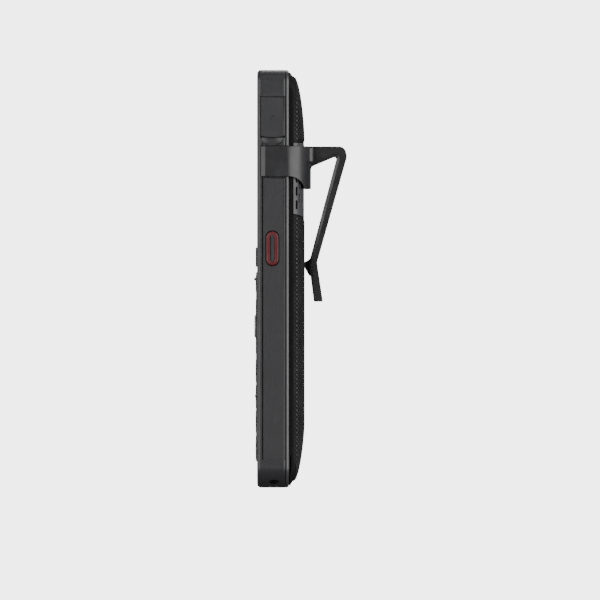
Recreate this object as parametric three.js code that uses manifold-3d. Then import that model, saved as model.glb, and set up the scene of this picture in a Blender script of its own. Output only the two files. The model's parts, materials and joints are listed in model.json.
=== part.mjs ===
// A rugged handheld terminal with a 2.5 inch display, a telephone keypad, a side alert button and a belt clip.
// Millimetres. +Z runs up the handset, -Y is the display and keypad side, +X is the side with the alert button.
// The origin is the centre of the flat bottom end.
import * as THREE from 'three';
import { mergeVertices } from 'three/addons/utils/BufferGeometryUtils.js';
import Module from 'manifold-3d';

const wasm = await Module();
wasm.setup();

// ---------------------------------------------------------------- driving dimensions
const LENGTH = 150;
const HALF_WIDTH = 26.5;
const TOP_RADIUS = 4;
const BOTTOM_RADIUS = 6.5;
const GAP = 0.3;                    // clearance between pieces that meet

// depth of each layer, from the keypad side (-Y) to the rear (+Y)
const FRONT_FACE = -5.7;
const FRONT_COVER_BACK = -3.95;
const HOUSING_FRONT = FRONT_COVER_BACK + GAP;
const WEB = { front: 0.9, back: 2.1 };
const HOUSING_BACK = 4.45;
const REAR_FRAME = { front: HOUSING_BACK + GAP, back: 5.7 };
const REAR_COVER_BASE = 6.0;
const REAR_COVER_LIP = 7.05;        // the smooth lip ends and the crowned, textured back begins
const REAR_COVER_BACK = 11.25;
const REAR_COVER_WALL = 1.5;
const WALL = 2.2;

// slots of the speaker grille
const SLOT_PITCH = 4.8;
const SLOT_ROWS = [101.6, 106.4, 111.2, 116];

// display window
const WINDOW = { x: 23, z0: 88.4, z1: 146.6, radius: 3, front: -5.62, back: -4.72 };
const DISPLAY = { x: 19.35, z0: 89.8, z1: 141.4 };
const EARPIECE = { z: 144.3, halfLength: 5, halfHeight: 0.7 };
const STATUS_LIGHT = { x: 14, z: 144.3, radius: 0.9 };

// keypad
const KEY_TOP = -6.25;
const KEY_SIDE_CLEARANCE = 0.25;
const PANEL = { x: 22, z0: 9.4, z1: 77.4, radius: 3, front: -6.1, back: -5.15 };
const COLUMNS = [-14.3, 0, 14.3];
const DIGIT_ROWS = [42, 32.8, 23.6, 14.4];
const DIGIT_NAMES = [['1', '2', '3'], ['4', '5', '6'], ['7', '8', '9'], ['star', '0', 'hash']];
const DIGIT_KEY = { width: 13, height: 8.1, radius: 2 };
const SHORTCUT_ROW = 73.3;
const SHORTCUT_KEY = { width: 13, height: 5.8, radius: 1.6 };
const SHORTCUT_RIDGE = { z: 74.9, halfHeight: 0.5, halfLength: 3, top: -6.8 };
const SOFT_ROW = 82.85;
const SOFT_KEY = { width: 13.2, height: 6.9, radius: 1.8 };
const NAV = { z: 57.9, outer: 10.4, inner: 4.7, flange: 11.3, carrier: 7.1, select: 4.15, selectTop: -6.75 };
const SIDE_KEY = { inner: 8.2, outer: 20.9, z0: 48.3, z1: 67.5, bite: 11.8, radius: 2 };
const FLANGE = { front: -3.65, back: -3.25, lap: 0.5, short: 1 };
const MEMBRANE = { front: -2.75, back: -2.15 };
const BOARD = { front: -1.85, back: -0.85 };

// side features
const GRIP = { thickness: 0.75, z0: 10.2, z1: 111.3, front: -3.6, back: 4.4 };
const ALERT = { z: 85.9, halfLength: 6.1, halfWidth: 2.17, y: -0.18, capHalfLength: 4.75, capHalfWidth: 0.5 };
const VOLUME = { z: 94, halfLength: 10, halfWidth: 2 };
const DOOR = { z0: 125.75, z1: 140.3, front: -4.4, back: 4.35, thickness: 1.4 };
const PORT = { z: 133.1, halfLength: 4.45, halfHeight: 1.6, y: -0.05 };
const SCREW_PLACES = [[-22.4, 8], [22.4, 8], [-22.4, 143.4], [22.4, 143.4]];
const SCREW_SEAT = 5.1;              // depth of the counterbore's floor in the rear frame
const CONTACT_PLACES = [-9, -4.5, 4.5, 9];
const LANYARD = { angle: 68, inner: 0.8, outer: 3.2, y: 0.4, halfWidth: 1.8 };

// belt clip: arms in the side recesses, a back plate, a bracket and a spring arm
const RECESS = { floor: 25.05, z0: 111.6, z1: 122.65, front: -4.5 };
const CLIP = { top: 122.35, armBottom: 111.9, plateBottom: 107.2, armOuter: 27.2, armInner: 25.35 };
const PLATE = { front: 11.6, back: 13.7 };
const YOKE = { tip: -4.2, shoulder: 4.6, flat: 14, insideFlat: 13 };
const BEND = { y: 24, z: 119.6, radius: 2.75, seat: 2.9 };
const CLIP_HALF_WIDTH = 10.5;

// ---------------------------------------------------------------- solids
// A closed three.js geometry as a manifold-3d solid.
function toSolid(geometry) {
  const bare = new THREE.BufferGeometry();
  bare.setAttribute('position', geometry.getAttribute('position').clone());
  bare.setIndex(geometry.index);
  const merged = mergeVertices(bare, 1e-4);
  const vertProperties = merged.getAttribute('position').array;
  const triVerts = new Uint32Array(merged.index.array);
  return new wasm.Manifold(new wasm.Mesh({ numProp: 3, vertProperties, triVerts }));
}

// A manifold-3d solid as a three.js geometry.
function toGeometry(solid) {
  const mesh = solid.getMesh();
  const geometry = new THREE.BufferGeometry();
  geometry.setAttribute('position', new THREE.BufferAttribute(mesh.vertProperties, mesh.numProp));
  geometry.setIndex(new THREE.BufferAttribute(mesh.triVerts, 1));
  geometry.computeVertexNormals();
  return geometry;
}

const cut = (solid, ...tools) => tools.reduce((rest, tool) => rest.subtract(tool), solid);
const join = (solid, ...others) => others.reduce((sum, other) => sum.add(other), solid);

function box(x0, x1, y0, y1, z0, z1) {
  const geometry = new THREE.BoxGeometry(x1 - x0, y1 - y0, z1 - z0);
  geometry.translate((x0 + x1) / 2, (y0 + y1) / 2, (z0 + z1) / 2);
  return toSolid(geometry);
}

function extrude(shape, depth, curveSegments) {
  return new THREE.ExtrudeGeometry(shape, { depth, bevelEnabled: false, curveSegments, steps: 1 });
}

// A shape drawn in (x, z), carried from y0 to y1.
function prismAlongY(shape, y0, y1, curveSegments = 6) {
  const geometry = extrude(shape, y1 - y0, curveSegments);
  geometry.rotateX(Math.PI / 2);
  geometry.translate(0, y1, 0);
  return toSolid(geometry);
}

// A shape drawn in (y, z), carried from x0 to x1.
function prismAlongX(shape, x0, x1, curveSegments = 6) {
  const geometry = extrude(shape, x1 - x0, curveSegments);
  const yzx = new THREE.Matrix4().makeBasis(
    new THREE.Vector3(0, 1, 0), new THREE.Vector3(0, 0, 1), new THREE.Vector3(1, 0, 0));
  geometry.applyMatrix4(yzx);
  geometry.translate(x0, 0, 0);
  return toSolid(geometry);
}

// A shape drawn in (x, y), carried from z0 to z1.
function prismAlongZ(shape, z0, z1, curveSegments = 6) {
  const geometry = extrude(shape, z1 - z0, curveSegments);
  geometry.translate(0, 0, z0);
  return toSolid(geometry);
}

function cylinderAlongY(x, z, radius, y0, y1, segments = 16) {
  const geometry = new THREE.CylinderGeometry(radius, radius, y1 - y0, segments);
  geometry.translate(x, (y0 + y1) / 2, z);
  return toSolid(geometry);
}

// A rectangle with round corners, as a three.js shape. radii: bottom left, bottom right, top right, top left.
function roundRect(x0, x1, z0, z1, radii) {
  const [bl, br, tr, tl] = Array.isArray(radii) ? radii : [radii, radii, radii, radii];
  const shape = new THREE.Shape();
  shape.moveTo(x0 + bl, z0);
  shape.lineTo(x1 - br, z0);
  shape.absarc(x1 - br, z0 + br, br, -Math.PI / 2, 0);
  shape.lineTo(x1, z1 - tr);
  shape.absarc(x1 - tr, z1 - tr, tr, 0, Math.PI / 2);
  shape.lineTo(x0 + tl, z1);
  shape.absarc(x0 + tl, z1 - tl, tl, Math.PI / 2, Math.PI);
  shape.lineTo(x0, z0 + bl);
  shape.absarc(x0 + bl, z0 + bl, bl, Math.PI, 1.5 * Math.PI);
  return shape;
}

// The points of a round rectangle, always the same number, so that loops of different size can be joined.
function roundLoop(x0, x1, z0, z1, radii, segments) {
  const [bl, br, tr, tl] = Array.isArray(radii) ? radii : [radii, radii, radii, radii];
  const corners = [
    [x1 - br, z0 + br, br, -0.5], [x1 - tr, z1 - tr, tr, 0], [x0 + tl, z1 - tl, tl, 0.5], [x0 + bl, z0 + bl, bl, 1]];
  return corners.flatMap(([x, z, radius, start]) =>
    Array.from({ length: segments + 1 }, (_, i) => {
      const angle = (start + i / segments / 2) * Math.PI;
      return new THREE.Vector2(x + radius * Math.cos(angle), z + radius * Math.sin(angle));
    }));
}

// Joins loops of (x, z) points, each at its own depth y, into one closed solid. Depths run front to back.
function loft(layers) {
  const count = layers[0].loop.length;
  const positions = layers.flatMap(({ loop, y }) => loop.flatMap((p) => [p.x, y, p.y]));
  const faces = [];
  for (let k = 0; k + 1 < layers.length; k++) {
    for (let i = 0; i < count; i++) {
      const a = k * count + i;
      const b = k * count + (i + 1) % count;
      faces.push(a, b, b + count, a, b + count, a + count);
    }
  }
  const last = (layers.length - 1) * count;
  for (const [a, b, c] of THREE.ShapeUtils.triangulateShape(layers[0].loop, [])) faces.push(a, c, b);
  for (const [a, b, c] of THREE.ShapeUtils.triangulateShape(layers.at(-1).loop, [])) {
    faces.push(last + a, last + b, last + c);
  }
  const outward = [];
  for (let i = 0; i < faces.length; i += 3) outward.push(faces[i], faces[i + 2], faces[i + 1]);
  const geometry = new THREE.BufferGeometry();
  geometry.setAttribute('position', new THREE.Float32BufferAttribute(positions, 3));
  geometry.setIndex(outward);
  return toSolid(geometry);
}

// The handset's outline, drawn in by inset on every side, at the depth y.
function bodyLayer(inset, y) {
  const top = Math.max(TOP_RADIUS - inset, 0.4);
  const bottom = Math.max(BOTTOM_RADIUS - inset, 0.4);
  const half = HALF_WIDTH - inset;
  return { y, loop: roundLoop(-half, half, inset, LENGTH - inset, [bottom, bottom, top, top], 5) };
}

const bodySlab = (layers) => loft(layers.map(([inset, y]) => bodyLayer(inset, y)));

// ---------------------------------------------------------------- shared cutting tools
// The slot on each side that a clip arm slides into from the rear.
function clipRecess(side) {
  const [x0, x1] = [RECESS.floor, HALF_WIDTH + 2];
  return side > 0
    ? box(x0, x1, RECESS.front, REAR_COVER_BASE + 1, RECESS.z0, RECESS.z1)
    : box(-x1, -x0, RECESS.front, REAR_COVER_BASE + 1, RECESS.z0, RECESS.z1);
}

// The fingernail scoop between the port cover and the clip arm: a shallow trough that slopes in from both ends.
function fingernailScoop(side) {
  const trough = new THREE.Shape();
  trough.moveTo(HALF_WIDTH + 1, -4.6);
  trough.lineTo(HALF_WIDTH, -4.3);
  trough.lineTo(RECESS.floor, -2.6);
  trough.lineTo(RECESS.floor, 2.4);
  trough.lineTo(HALF_WIDTH, 4.1);
  trough.lineTo(HALF_WIDTH + 1, 4.4);
  const tool = prismAlongZ(trough, RECESS.z1 - 0.1, DOOR.z0);
  return side > 0 ? tool : tool.mirror([1, 0, 0]);
}

const portDoorPocket = () =>
  box(HALF_WIDTH - DOOR.thickness - GAP, HALF_WIDTH + 2, DOOR.front - 0.15, DOOR.back + 0.15,
    DOOR.z0 - 0.15, DOOR.z1 + 0.2);

// The outline of a pill that stands along Z, in (y, z).
function pill(y, z, halfWidth, halfLength) {
  const shape = new THREE.Shape();
  shape.absarc(y, z + halfLength - halfWidth, halfWidth, 0, Math.PI);
  shape.absarc(y, z - halfLength + halfWidth, halfWidth, Math.PI, 2 * Math.PI);
  return shape;
}

// ---------------------------------------------------------------- front cover, window and display
function keyHole(x, z, width, height, radius) {
  const halfWidth = width / 2 + KEY_SIDE_CLEARANCE;
  const halfHeight = height / 2 + KEY_SIDE_CLEARANCE;
  return roundRect(x - halfWidth, x + halfWidth, z - halfHeight, z + halfHeight, radius);
}

function sideKeyShape(side, grow) {
  const { inner, outer, z0, z1, bite, radius } = SIDE_KEY;
  const [x0, x1] = side > 0 ? [inner - grow, outer + grow] : [-outer - grow, -inner + grow];
  const blank = prismAlongY(roundRect(x0, x1, z0 - grow, z1 + grow, radius), -8, -3, 3);
  return cut(blank, cylinderAlongY(0, NAV.z, bite - grow, -9, -2, 36));
}

// Every key hole below the soft keys, cut through both the keypad panel and the front cover.
function keypadHoles() {
  const digits = DIGIT_ROWS.flatMap((z) => COLUMNS.map((x) =>
    prismAlongY(keyHole(x, z, DIGIT_KEY.width, DIGIT_KEY.height, DIGIT_KEY.radius), -8, -3, 3)));
  const shortcuts = COLUMNS.map((x) =>
    prismAlongY(keyHole(x, SHORTCUT_ROW, SHORTCUT_KEY.width, SHORTCUT_KEY.height, SHORTCUT_KEY.radius), -8, -3, 3));
  const nav = cylinderAlongY(0, NAV.z, NAV.outer + GAP, -8, -3, 28);
  const sides = [-1, 1].map((side) => sideKeyShape(side, KEY_SIDE_CLEARANCE));
  return [...digits, ...shortcuts, nav, ...sides];
}

function frontCover() {
  const blank = bodySlab([[1, FRONT_FACE], [0.25, -4.95], [0, -4.1], [0, FRONT_COVER_BACK]]);
  const windowSeat = prismAlongY(roundRect(-WINDOW.x - GAP, WINDOW.x + GAP, WINDOW.z0 - GAP, WINDOW.z1 + GAP,
    WINDOW.radius), -8, WINDOW.back + GAP);
  const displayOpening = box(-DISPLAY.x, DISPLAY.x, -8, -3, DISPLAY.z0, DISPLAY.z1);
  const earpieceSlot = box(-EARPIECE.halfLength, EARPIECE.halfLength, -8, -3,
    EARPIECE.z - EARPIECE.halfHeight, EARPIECE.z + EARPIECE.halfHeight);
  const lightHole = cylinderAlongY(STATUS_LIGHT.x, STATUS_LIGHT.z, STATUS_LIGHT.radius + GAP, -8, -3, 12);
  const panelSeat = prismAlongY(roundRect(-PANEL.x - GAP, PANEL.x + GAP, PANEL.z0 - GAP, PANEL.z1 + GAP,
    PANEL.radius), -8, PANEL.back + GAP);
  const softHoles = COLUMNS.map((x) =>
    prismAlongY(keyHole(x, SOFT_ROW, SOFT_KEY.width, SOFT_KEY.height, SOFT_KEY.radius), -8, -3, 3));
  const bosses = SCREW_PLACES.map(([x, z]) => cut(
    cylinderAlongY(x, z, 1.8, FRONT_COVER_BACK - 0.1, WEB.front - GAP, 14), cylinderAlongY(x, z, 1, -3.3, 9, 10)));
  const plate = cut(blank, windowSeat, displayOpening, earpieceSlot, lightHole, panelSeat, ...softHoles,
    ...keypadHoles(), clipRecess(1), clipRecess(-1), portDoorPocket());
  return join(plate, ...bosses);
}

function displayWindow() {
  const glass = prismAlongY(roundRect(-WINDOW.x, WINDOW.x, WINDOW.z0, WINDOW.z1, WINDOW.radius),
    WINDOW.front, WINDOW.back);
  const slot = roundRect(-EARPIECE.halfLength, EARPIECE.halfLength, EARPIECE.z - EARPIECE.halfHeight,
    EARPIECE.z + EARPIECE.halfHeight, EARPIECE.halfHeight - 0.05);
  return cut(glass, prismAlongY(slot, -7, -4, 4));
}

function keypadPanel() {
  const blank = prismAlongY(roundRect(-PANEL.x, PANEL.x, PANEL.z0, PANEL.z1, PANEL.radius), PANEL.front, PANEL.back);
  return cut(blank, ...keypadHoles());
}

// ---------------------------------------------------------------- keys
function keyLayers(x, z, width, height, radius) {
  const layer = (inset, y) => ({
    y,
    loop: roundLoop(x - width / 2 + inset, x + width / 2 - inset, z - height / 2 + inset, z + height / 2 - inset,
      radius - inset, 3),
  });
  return [layer(0.45, KEY_TOP), layer(0, KEY_TOP + 0.3), layer(0, FLANGE.front + 0.01)];
}

// A key cap on the flange that keeps it under the front cover.
function key(x, z, { width, height, radius }) {
  const halfWidth = width / 2 + FLANGE.lap;
  const halfHeight = height / 2 - FLANGE.short;
  const flange = box(x - halfWidth, x + halfWidth, FLANGE.front, FLANGE.back, z - halfHeight, z + halfHeight);
  return join(loft(keyLayers(x, z, width, height, radius)), flange);
}

function shortcutKey(x) {
  const ridge = box(x - SHORTCUT_RIDGE.halfLength, x + SHORTCUT_RIDGE.halfLength, SHORTCUT_RIDGE.top, KEY_TOP + 0.1,
    SHORTCUT_RIDGE.z - SHORTCUT_RIDGE.halfHeight, SHORTCUT_RIDGE.z + SHORTCUT_RIDGE.halfHeight);
  return join(key(x, SHORTCUT_ROW, SHORTCUT_KEY), ridge);
}

function fiveKey() {
  const nib = new THREE.SphereGeometry(0.8, 10, 8);
  nib.translate(0, KEY_TOP + 0.4, DIGIT_ROWS[1]);
  return join(key(0, DIGIT_ROWS[1], DIGIT_KEY), toSolid(nib));
}

function sideKey(side) {
  const depth = box(-HALF_WIDTH, HALF_WIDTH, KEY_TOP, FLANGE.front + 0.01, 0, LENGTH);
  const [x0, x1] = side > 0 ? [13.2, SIDE_KEY.outer + FLANGE.lap] : [-SIDE_KEY.outer - FLANGE.lap, -13.2];
  const flange = box(x0, x1, FLANGE.front, FLANGE.back, SIDE_KEY.z0 + 2, SIDE_KEY.z1 - 2);
  return join(sideKeyShape(side, 0).intersect(depth), flange);
}

function washer(outer, inner, y0, y1) {
  return cut(cylinderAlongY(0, NAV.z, outer, y0, y1, 28), cylinderAlongY(0, NAV.z, inner, y0 - 1, y1 + 1, 28));
}

// The ring rocks on the carrier, a washer that sits inside the ring's flange.
function navRing() {
  const skirtInner = NAV.carrier + 0.4;
  return join(washer(NAV.outer, NAV.inner, KEY_TOP, FRONT_COVER_BACK),
    washer(NAV.outer, skirtInner, FRONT_COVER_BACK - 0.01, FLANGE.front + 0.06),
    washer(NAV.flange, skirtInner, FLANGE.front + 0.05, FLANGE.back + 0.05));
}

const navCarrier = () => washer(NAV.carrier, NAV.inner, FLANGE.front + 0.05, FLANGE.back + 0.05);

const selectKey = () => cylinderAlongY(0, NAV.z, NAV.select, NAV.selectTop, FLANGE.back, 20);

// ---------------------------------------------------------------- inside the front half
const keypadMembrane = () => box(-21.8, 21.8, MEMBRANE.front, MEMBRANE.back, 10.2, 87);
const lcdModule = () => box(-21.4, 21.4, -3.6, MEMBRANE.back, 88, 141.4);
const earpiece = () => box(-6, 6, -3.6, MEMBRANE.back, 142.6, 147.2);
const microphone = () => box(-2, 2, -3.6, MEMBRANE.back, 3.2, 7);
const shieldCan = () => box(-16, 12, BOARD.back + GAP, 0.6, 92, 124);

function earpieceMesh() {
  return box(-EARPIECE.halfLength + 0.2, EARPIECE.halfLength - 0.2, -4.55, -4.25,
    EARPIECE.z - EARPIECE.halfHeight + 0.2, EARPIECE.z + EARPIECE.halfHeight - 0.2);
}

const statusLight = () =>
  cylinderAlongY(STATUS_LIGHT.x, STATUS_LIGHT.z, STATUS_LIGHT.radius, -4.6, MEMBRANE.back, 12);

function mainBoard() {
  const board = box(-23.6, 23.6, BOARD.front, BOARD.back, 10.2, 141);
  const portNotch = box(14.6, 30, -9, 9, PORT.z - 6, PORT.z + 6);
  return cut(board, portNotch);
}

function usbPort() {
  const shape = pill(PORT.y, PORT.z, PORT.halfHeight, PORT.halfLength);
  const mouth = pill(PORT.y, PORT.z, PORT.halfHeight - 0.35, PORT.halfLength - 0.35);
  return cut(prismAlongX(shape, 15, 22.9, 4), prismAlongX(mouth, 17, 30, 4));
}

// ---------------------------------------------------------------- mid housing
// The curved tunnel in the bottom right corner that a lanyard loop threads.
function lanyardTunnel() {
  const turn = THREE.MathUtils.degToRad(LANYARD.angle);
  const x = HALF_WIDTH - BOTTOM_RADIUS + BOTTOM_RADIUS * Math.cos(turn);
  const z = BOTTOM_RADIUS - BOTTOM_RADIUS * Math.sin(turn);
  const [y0, y1] = [LANYARD.y - LANYARD.halfWidth, LANYARD.y + LANYARD.halfWidth];
  return cut(cylinderAlongY(x, z, LANYARD.outer, y0, y1, 20), cylinderAlongY(x, z, LANYARD.inner, y0 - 1, y1 + 1, 12));
}

function sideBand(side) {
  const tool = box(HALF_WIDTH - GRIP.thickness - GAP, HALF_WIDTH + 2, -6, HOUSING_BACK + 0.01,
    GRIP.z0 - GAP, GRIP.z1 + GAP + 0.1);
  return side > 0 ? tool : tool.mirror([1, 0, 0]);
}

function midHousing() {
  const blank = bodySlab([[0, HOUSING_FRONT], [0, HOUSING_BACK]]);
  const frontCavity = bodySlab([[WALL, -9], [WALL, WEB.front]]);
  const rearCavity = bodySlab([[WALL, WEB.back], [WALL, 9]]);
  const bosses = SCREW_PLACES.map(([x, z]) => cylinderAlongY(x, z, 2.3, WEB.back - 0.1, HOUSING_BACK, 14));
  const screwHoles = SCREW_PLACES.map(([x, z]) => cylinderAlongY(x, z, 1, -9, 9, 10));
  const portHole = box(14.9, 30, -2.2, 2.2, PORT.z - 4.8, PORT.z + 4.8);
  const alertHole = prismAlongX(pill(ALERT.y, ALERT.z, ALERT.halfWidth + GAP, ALERT.halfLength + GAP), 20, 30, 5);
  const volumeHole = prismAlongX(pill(0, VOLUME.z, VOLUME.halfWidth + GAP, VOLUME.halfLength + GAP), -30, -20, 5);
  const contactSeats = CONTACT_PLACES.map((x) => box(x - 1.5, x + 1.5, -1.4, 1.4, -1, 1.6));
  const microphoneHole = toSolid(new THREE.CylinderGeometry(0.5, 0.5, 6, 10).rotateX(Math.PI / 2)
    .translate(15, -2.4, 1));
  const lanyardCorner = box(17, HALF_WIDTH, HOUSING_FRONT, HOUSING_BACK, 0, 5.4).intersect(blank);
  const shell = join(cut(blank, frontCavity, rearCavity), ...bosses, lanyardCorner);
  return cut(shell, ...screwHoles, portHole, alertHole, volumeHole, ...contactSeats, microphoneHole,
    lanyardTunnel(), sideBand(1), sideBand(-1), clipRecess(1), clipRecess(-1), fingernailScoop(1),
    fingernailScoop(-1), portDoorPocket());
}

function rearFrame() {
  const blank = bodySlab([[0, REAR_FRAME.front], [0, 5.05], [0.65, REAR_FRAME.back]]);
  const opening = bodySlab([[5.2, -9], [5.2, 9]]);
  const holes = SCREW_PLACES.flatMap(([x, z]) => [
    cylinderAlongY(x, z, 1, -9, 9, 10), cylinderAlongY(x, z, 1.7, SCREW_SEAT, 9, 14)]);
  return cut(blank, opening, ...holes, clipRecess(1), clipRecess(-1), portDoorPocket());
}

function screw([x, z]) {
  return join(cylinderAlongY(x, z, 1.4, SCREW_SEAT + 0.05, 5.65, 12),
    cylinderAlongY(x, z, 0.7, -2.9, SCREW_SEAT + 0.1, 10));
}

// ---------------------------------------------------------------- rear cover and speaker grille
// Half width, lowest and highest point of the crowned back, from its lip (share 0) to its flat (share 1).
function crown(share, wall) {
  const turn = share * Math.PI / 2;
  const spread = Math.cos(turn);
  return {
    y: REAR_COVER_LIP + (REAR_COVER_BACK - REAR_COVER_LIP) * Math.sin(turn) - wall,
    half: 13 + 12 * spread - wall,
    z0: 22.5 - 20.3 * spread ** 1.5 + wall,
    z1: 124.6 + 23.3 * spread ** 1.3 - wall,
    radius: 6 + 5 * share,
  };
}

function crownLayers(wall, steps) {
  return Array.from({ length: steps + 1 }, (_, i) => {
    const { y, half, z0, z1, radius } = crown(i / steps, wall);
    return { y, loop: roundLoop(-half, half, z0, z1, radius, 5) };
  });
}

function crownedShell() {
  const base = (inset, y) => ({ y, loop: roundLoop(-25 + inset, 25 - inset, 1.1 + inset, 148.8 - inset, 6, 5) });
  const outside = loft([base(0, REAR_COVER_BASE), ...crownLayers(0, 6)]);
  const inside = loft([base(REAR_COVER_WALL, 0), ...crownLayers(REAR_COVER_WALL, 4)]);
  return cut(outside, inside);
}

// The band across the upper back that the speaker grille fills, with a lower edge that dips in the middle.
function grilleBand(grow) {
  const band = new THREE.Shape();
  band.moveTo(-30, 99.3 - grow);
  band.quadraticCurveTo(0, 92.6 - grow, 30, 99.3 - grow);
  band.lineTo(30, 123.8 + grow);
  band.lineTo(-30, 123.8 + grow);
  return prismAlongY(band, REAR_COVER_LIP + GAP - grow, 20, 8);
}

const rearCover = () => cut(crownedShell(), grilleBand(GAP));

// Staggered columns of upright slots, closer together where the grille curves round to the sides.
function speakerGrille() {
  const columns = [24.15, 22.5, 20.15, 16, 11.8, 7.6, 3.4];
  const slots = columns.flatMap((x, i) => SLOT_ROWS.flatMap((row) => {
    const z = row + (i % 2 ? SLOT_PITCH / 2 : 0);
    return [-x, x].map((centre) => box(centre - 0.5, centre + 0.5, 5, 20, z - 1.65, z + 1.65));
  }));
  return cut(crownedShell().intersect(grilleBand(0)), ...slots);
}

// ---------------------------------------------------------------- inside the rear half
const battery = () => box(-18.5, 18.5, 2.4, 8.5, 24, 88);
const loudspeaker = () => box(-9, 9, 2.4, 8.6, 99, 112);
const vibrationMotor = () => cylinderAlongY(-13, 131, 4, 2.4, 5.1, 16);
const antenna = () => box(-17, 17, 2.4, 3.2, 138, 145.5);

// ---------------------------------------------------------------- buttons and the port cover
function sideGrip(side) {
  const [x0, x1] = [HALF_WIDTH - GRIP.thickness, HALF_WIDTH];
  const shape = roundRect(GRIP.front, GRIP.back, GRIP.z0, GRIP.z1, 0.6);
  if (side > 0) {
    const hole = prismAlongX(pill(ALERT.y, ALERT.z, ALERT.halfWidth + GAP, ALERT.halfLength + GAP), 20, 30, 5);
    return cut(prismAlongX(shape, x0, x1, 2), hole);
  }
  const hole = prismAlongX(pill(0, VOLUME.z, VOLUME.halfWidth + GAP, VOLUME.halfLength + GAP), -30, -20, 5);
  return cut(prismAlongX(shape, -x1, -x0, 2), hole);
}

function alertRing() {
  const ring = prismAlongX(pill(ALERT.y, ALERT.z, ALERT.halfWidth, ALERT.halfLength), 25, 26.7, 6);
  return cut(ring, prismAlongX(pill(ALERT.y, ALERT.z, ALERT.capHalfWidth + 0.2, ALERT.capHalfLength + 0.2), 20, 30, 5));
}

const alertCap = () =>
  prismAlongX(pill(ALERT.y, ALERT.z, ALERT.capHalfWidth, ALERT.capHalfLength), 24.9, 26.85, 5);

const volumeRocker = () =>
  prismAlongX(pill(0, VOLUME.z, VOLUME.halfWidth, VOLUME.halfLength), -26.95, -24.7, 5);

function portCover() {
  const face = box(HALF_WIDTH - DOOR.thickness, HALF_WIDTH, DOOR.front, DOOR.back, DOOR.z0, DOOR.z1);
  const plug = prismAlongX(pill(PORT.y, PORT.z, 1.1, 3.6), 23.9, HALF_WIDTH - 0.5, 4);
  return join(face, plug);
}

const chargeContact = (x) => box(x - 1.2, x + 1.2, -1.1, 1.1, 0.1, 1.3);

// ---------------------------------------------------------------- belt clip
// The yoke seen from above, in (x, y): two arms, rounded shoulders and a flat back plate.
function yokeShape() {
  const { armInner, armOuter } = CLIP;
  const [insideRise, outsideRise] = [PLATE.front - REAR_COVER_LIP, PLATE.back - YOKE.shoulder];
  const shape = new THREE.Shape();
  shape.moveTo(YOKE.insideFlat, PLATE.front);
  shape.absellipse(YOKE.insideFlat, REAR_COVER_LIP, armInner - YOKE.insideFlat, insideRise, Math.PI / 2, 0, true);
  shape.lineTo(armInner, YOKE.tip);
  shape.lineTo(armOuter - 1.3, YOKE.tip);
  shape.lineTo(armOuter, YOKE.tip + 1.45);
  shape.absellipse(YOKE.flat, YOKE.shoulder, armOuter - YOKE.flat, outsideRise, 0, Math.PI / 2);
  shape.absellipse(-YOKE.flat, YOKE.shoulder, armOuter - YOKE.flat, outsideRise, Math.PI / 2, Math.PI);
  shape.lineTo(-armOuter, YOKE.tip + 1.45);
  shape.lineTo(1.3 - armOuter, YOKE.tip);
  shape.lineTo(-armInner, YOKE.tip);
  shape.absellipse(-YOKE.insideFlat, REAR_COVER_LIP, armInner - YOKE.insideFlat, insideRise, Math.PI, Math.PI / 2, true);
  return shape;
}

// What is taken off under one arm, so that the plate hangs lower than the arms.
function yokeUndercut(side) {
  const shape = new THREE.Shape();
  shape.moveTo(21.6, CLIP.plateBottom - 1);
  shape.lineTo(21.6, CLIP.plateBottom);
  shape.quadraticCurveTo(22.2, 110.6, 25, CLIP.armBottom);
  shape.lineTo(30, CLIP.armBottom);
  shape.lineTo(30, CLIP.plateBottom - 1);
  const tool = prismAlongY(shape, -10, 20, 5);
  return side > 0 ? tool : tool.mirror([1, 0, 0]);
}

// The bracket's side view, in (y, z): a gusset that carries the bend.
function bracketShape() {
  const shape = new THREE.Shape();
  shape.moveTo(PLATE.back - 0.2, 115.3);
  shape.quadraticCurveTo(13.9, 116.3, 15.2, 116.6);
  shape.lineTo(22.3, 118.7);
  shape.lineTo(22.3, CLIP.top);
  shape.lineTo(PLATE.back - 0.2, CLIP.top);
  return shape;
}

function clipYoke() {
  const band = prismAlongZ(yokeShape(), CLIP.plateBottom, CLIP.top, 12);
  const bracket = prismAlongX(bracketShape(), -CLIP_HALF_WIDTH, CLIP_HALF_WIDTH, 4);
  const seat = new THREE.CylinderGeometry(BEND.seat, BEND.seat, 40, 28);
  seat.rotateZ(Math.PI / 2);
  seat.translate(0, BEND.y, BEND.z);
  return cut(join(band, bracket), yokeUndercut(1), yokeUndercut(-1), toSolid(seat));
}

// The spring arm's side view, in (y, z): round knuckle, long leg, tooth and lead-in tip.
function clipArmShape() {
  const shape = new THREE.Shape();
  shape.moveTo(26.6, 118.8);
  shape.absarc(BEND.y, BEND.z, BEND.radius - 0.15, -0.3, Math.PI + 0.15);
  shape.lineTo(22.9, 117.2);
  shape.lineTo(12.9, 81.7);
  shape.lineTo(11.55, 80.5);
  shape.lineTo(11.6, 79.4);
  shape.lineTo(13.4, 76.2);
  shape.lineTo(14.75, 66.95);
  shape.lineTo(17.95, 66.95);
  shape.lineTo(15.9, 80.7);
  return shape;
}

const clipArm = () => prismAlongX(clipArmShape(), -CLIP_HALF_WIDTH, CLIP_HALF_WIDTH, 8);

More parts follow.
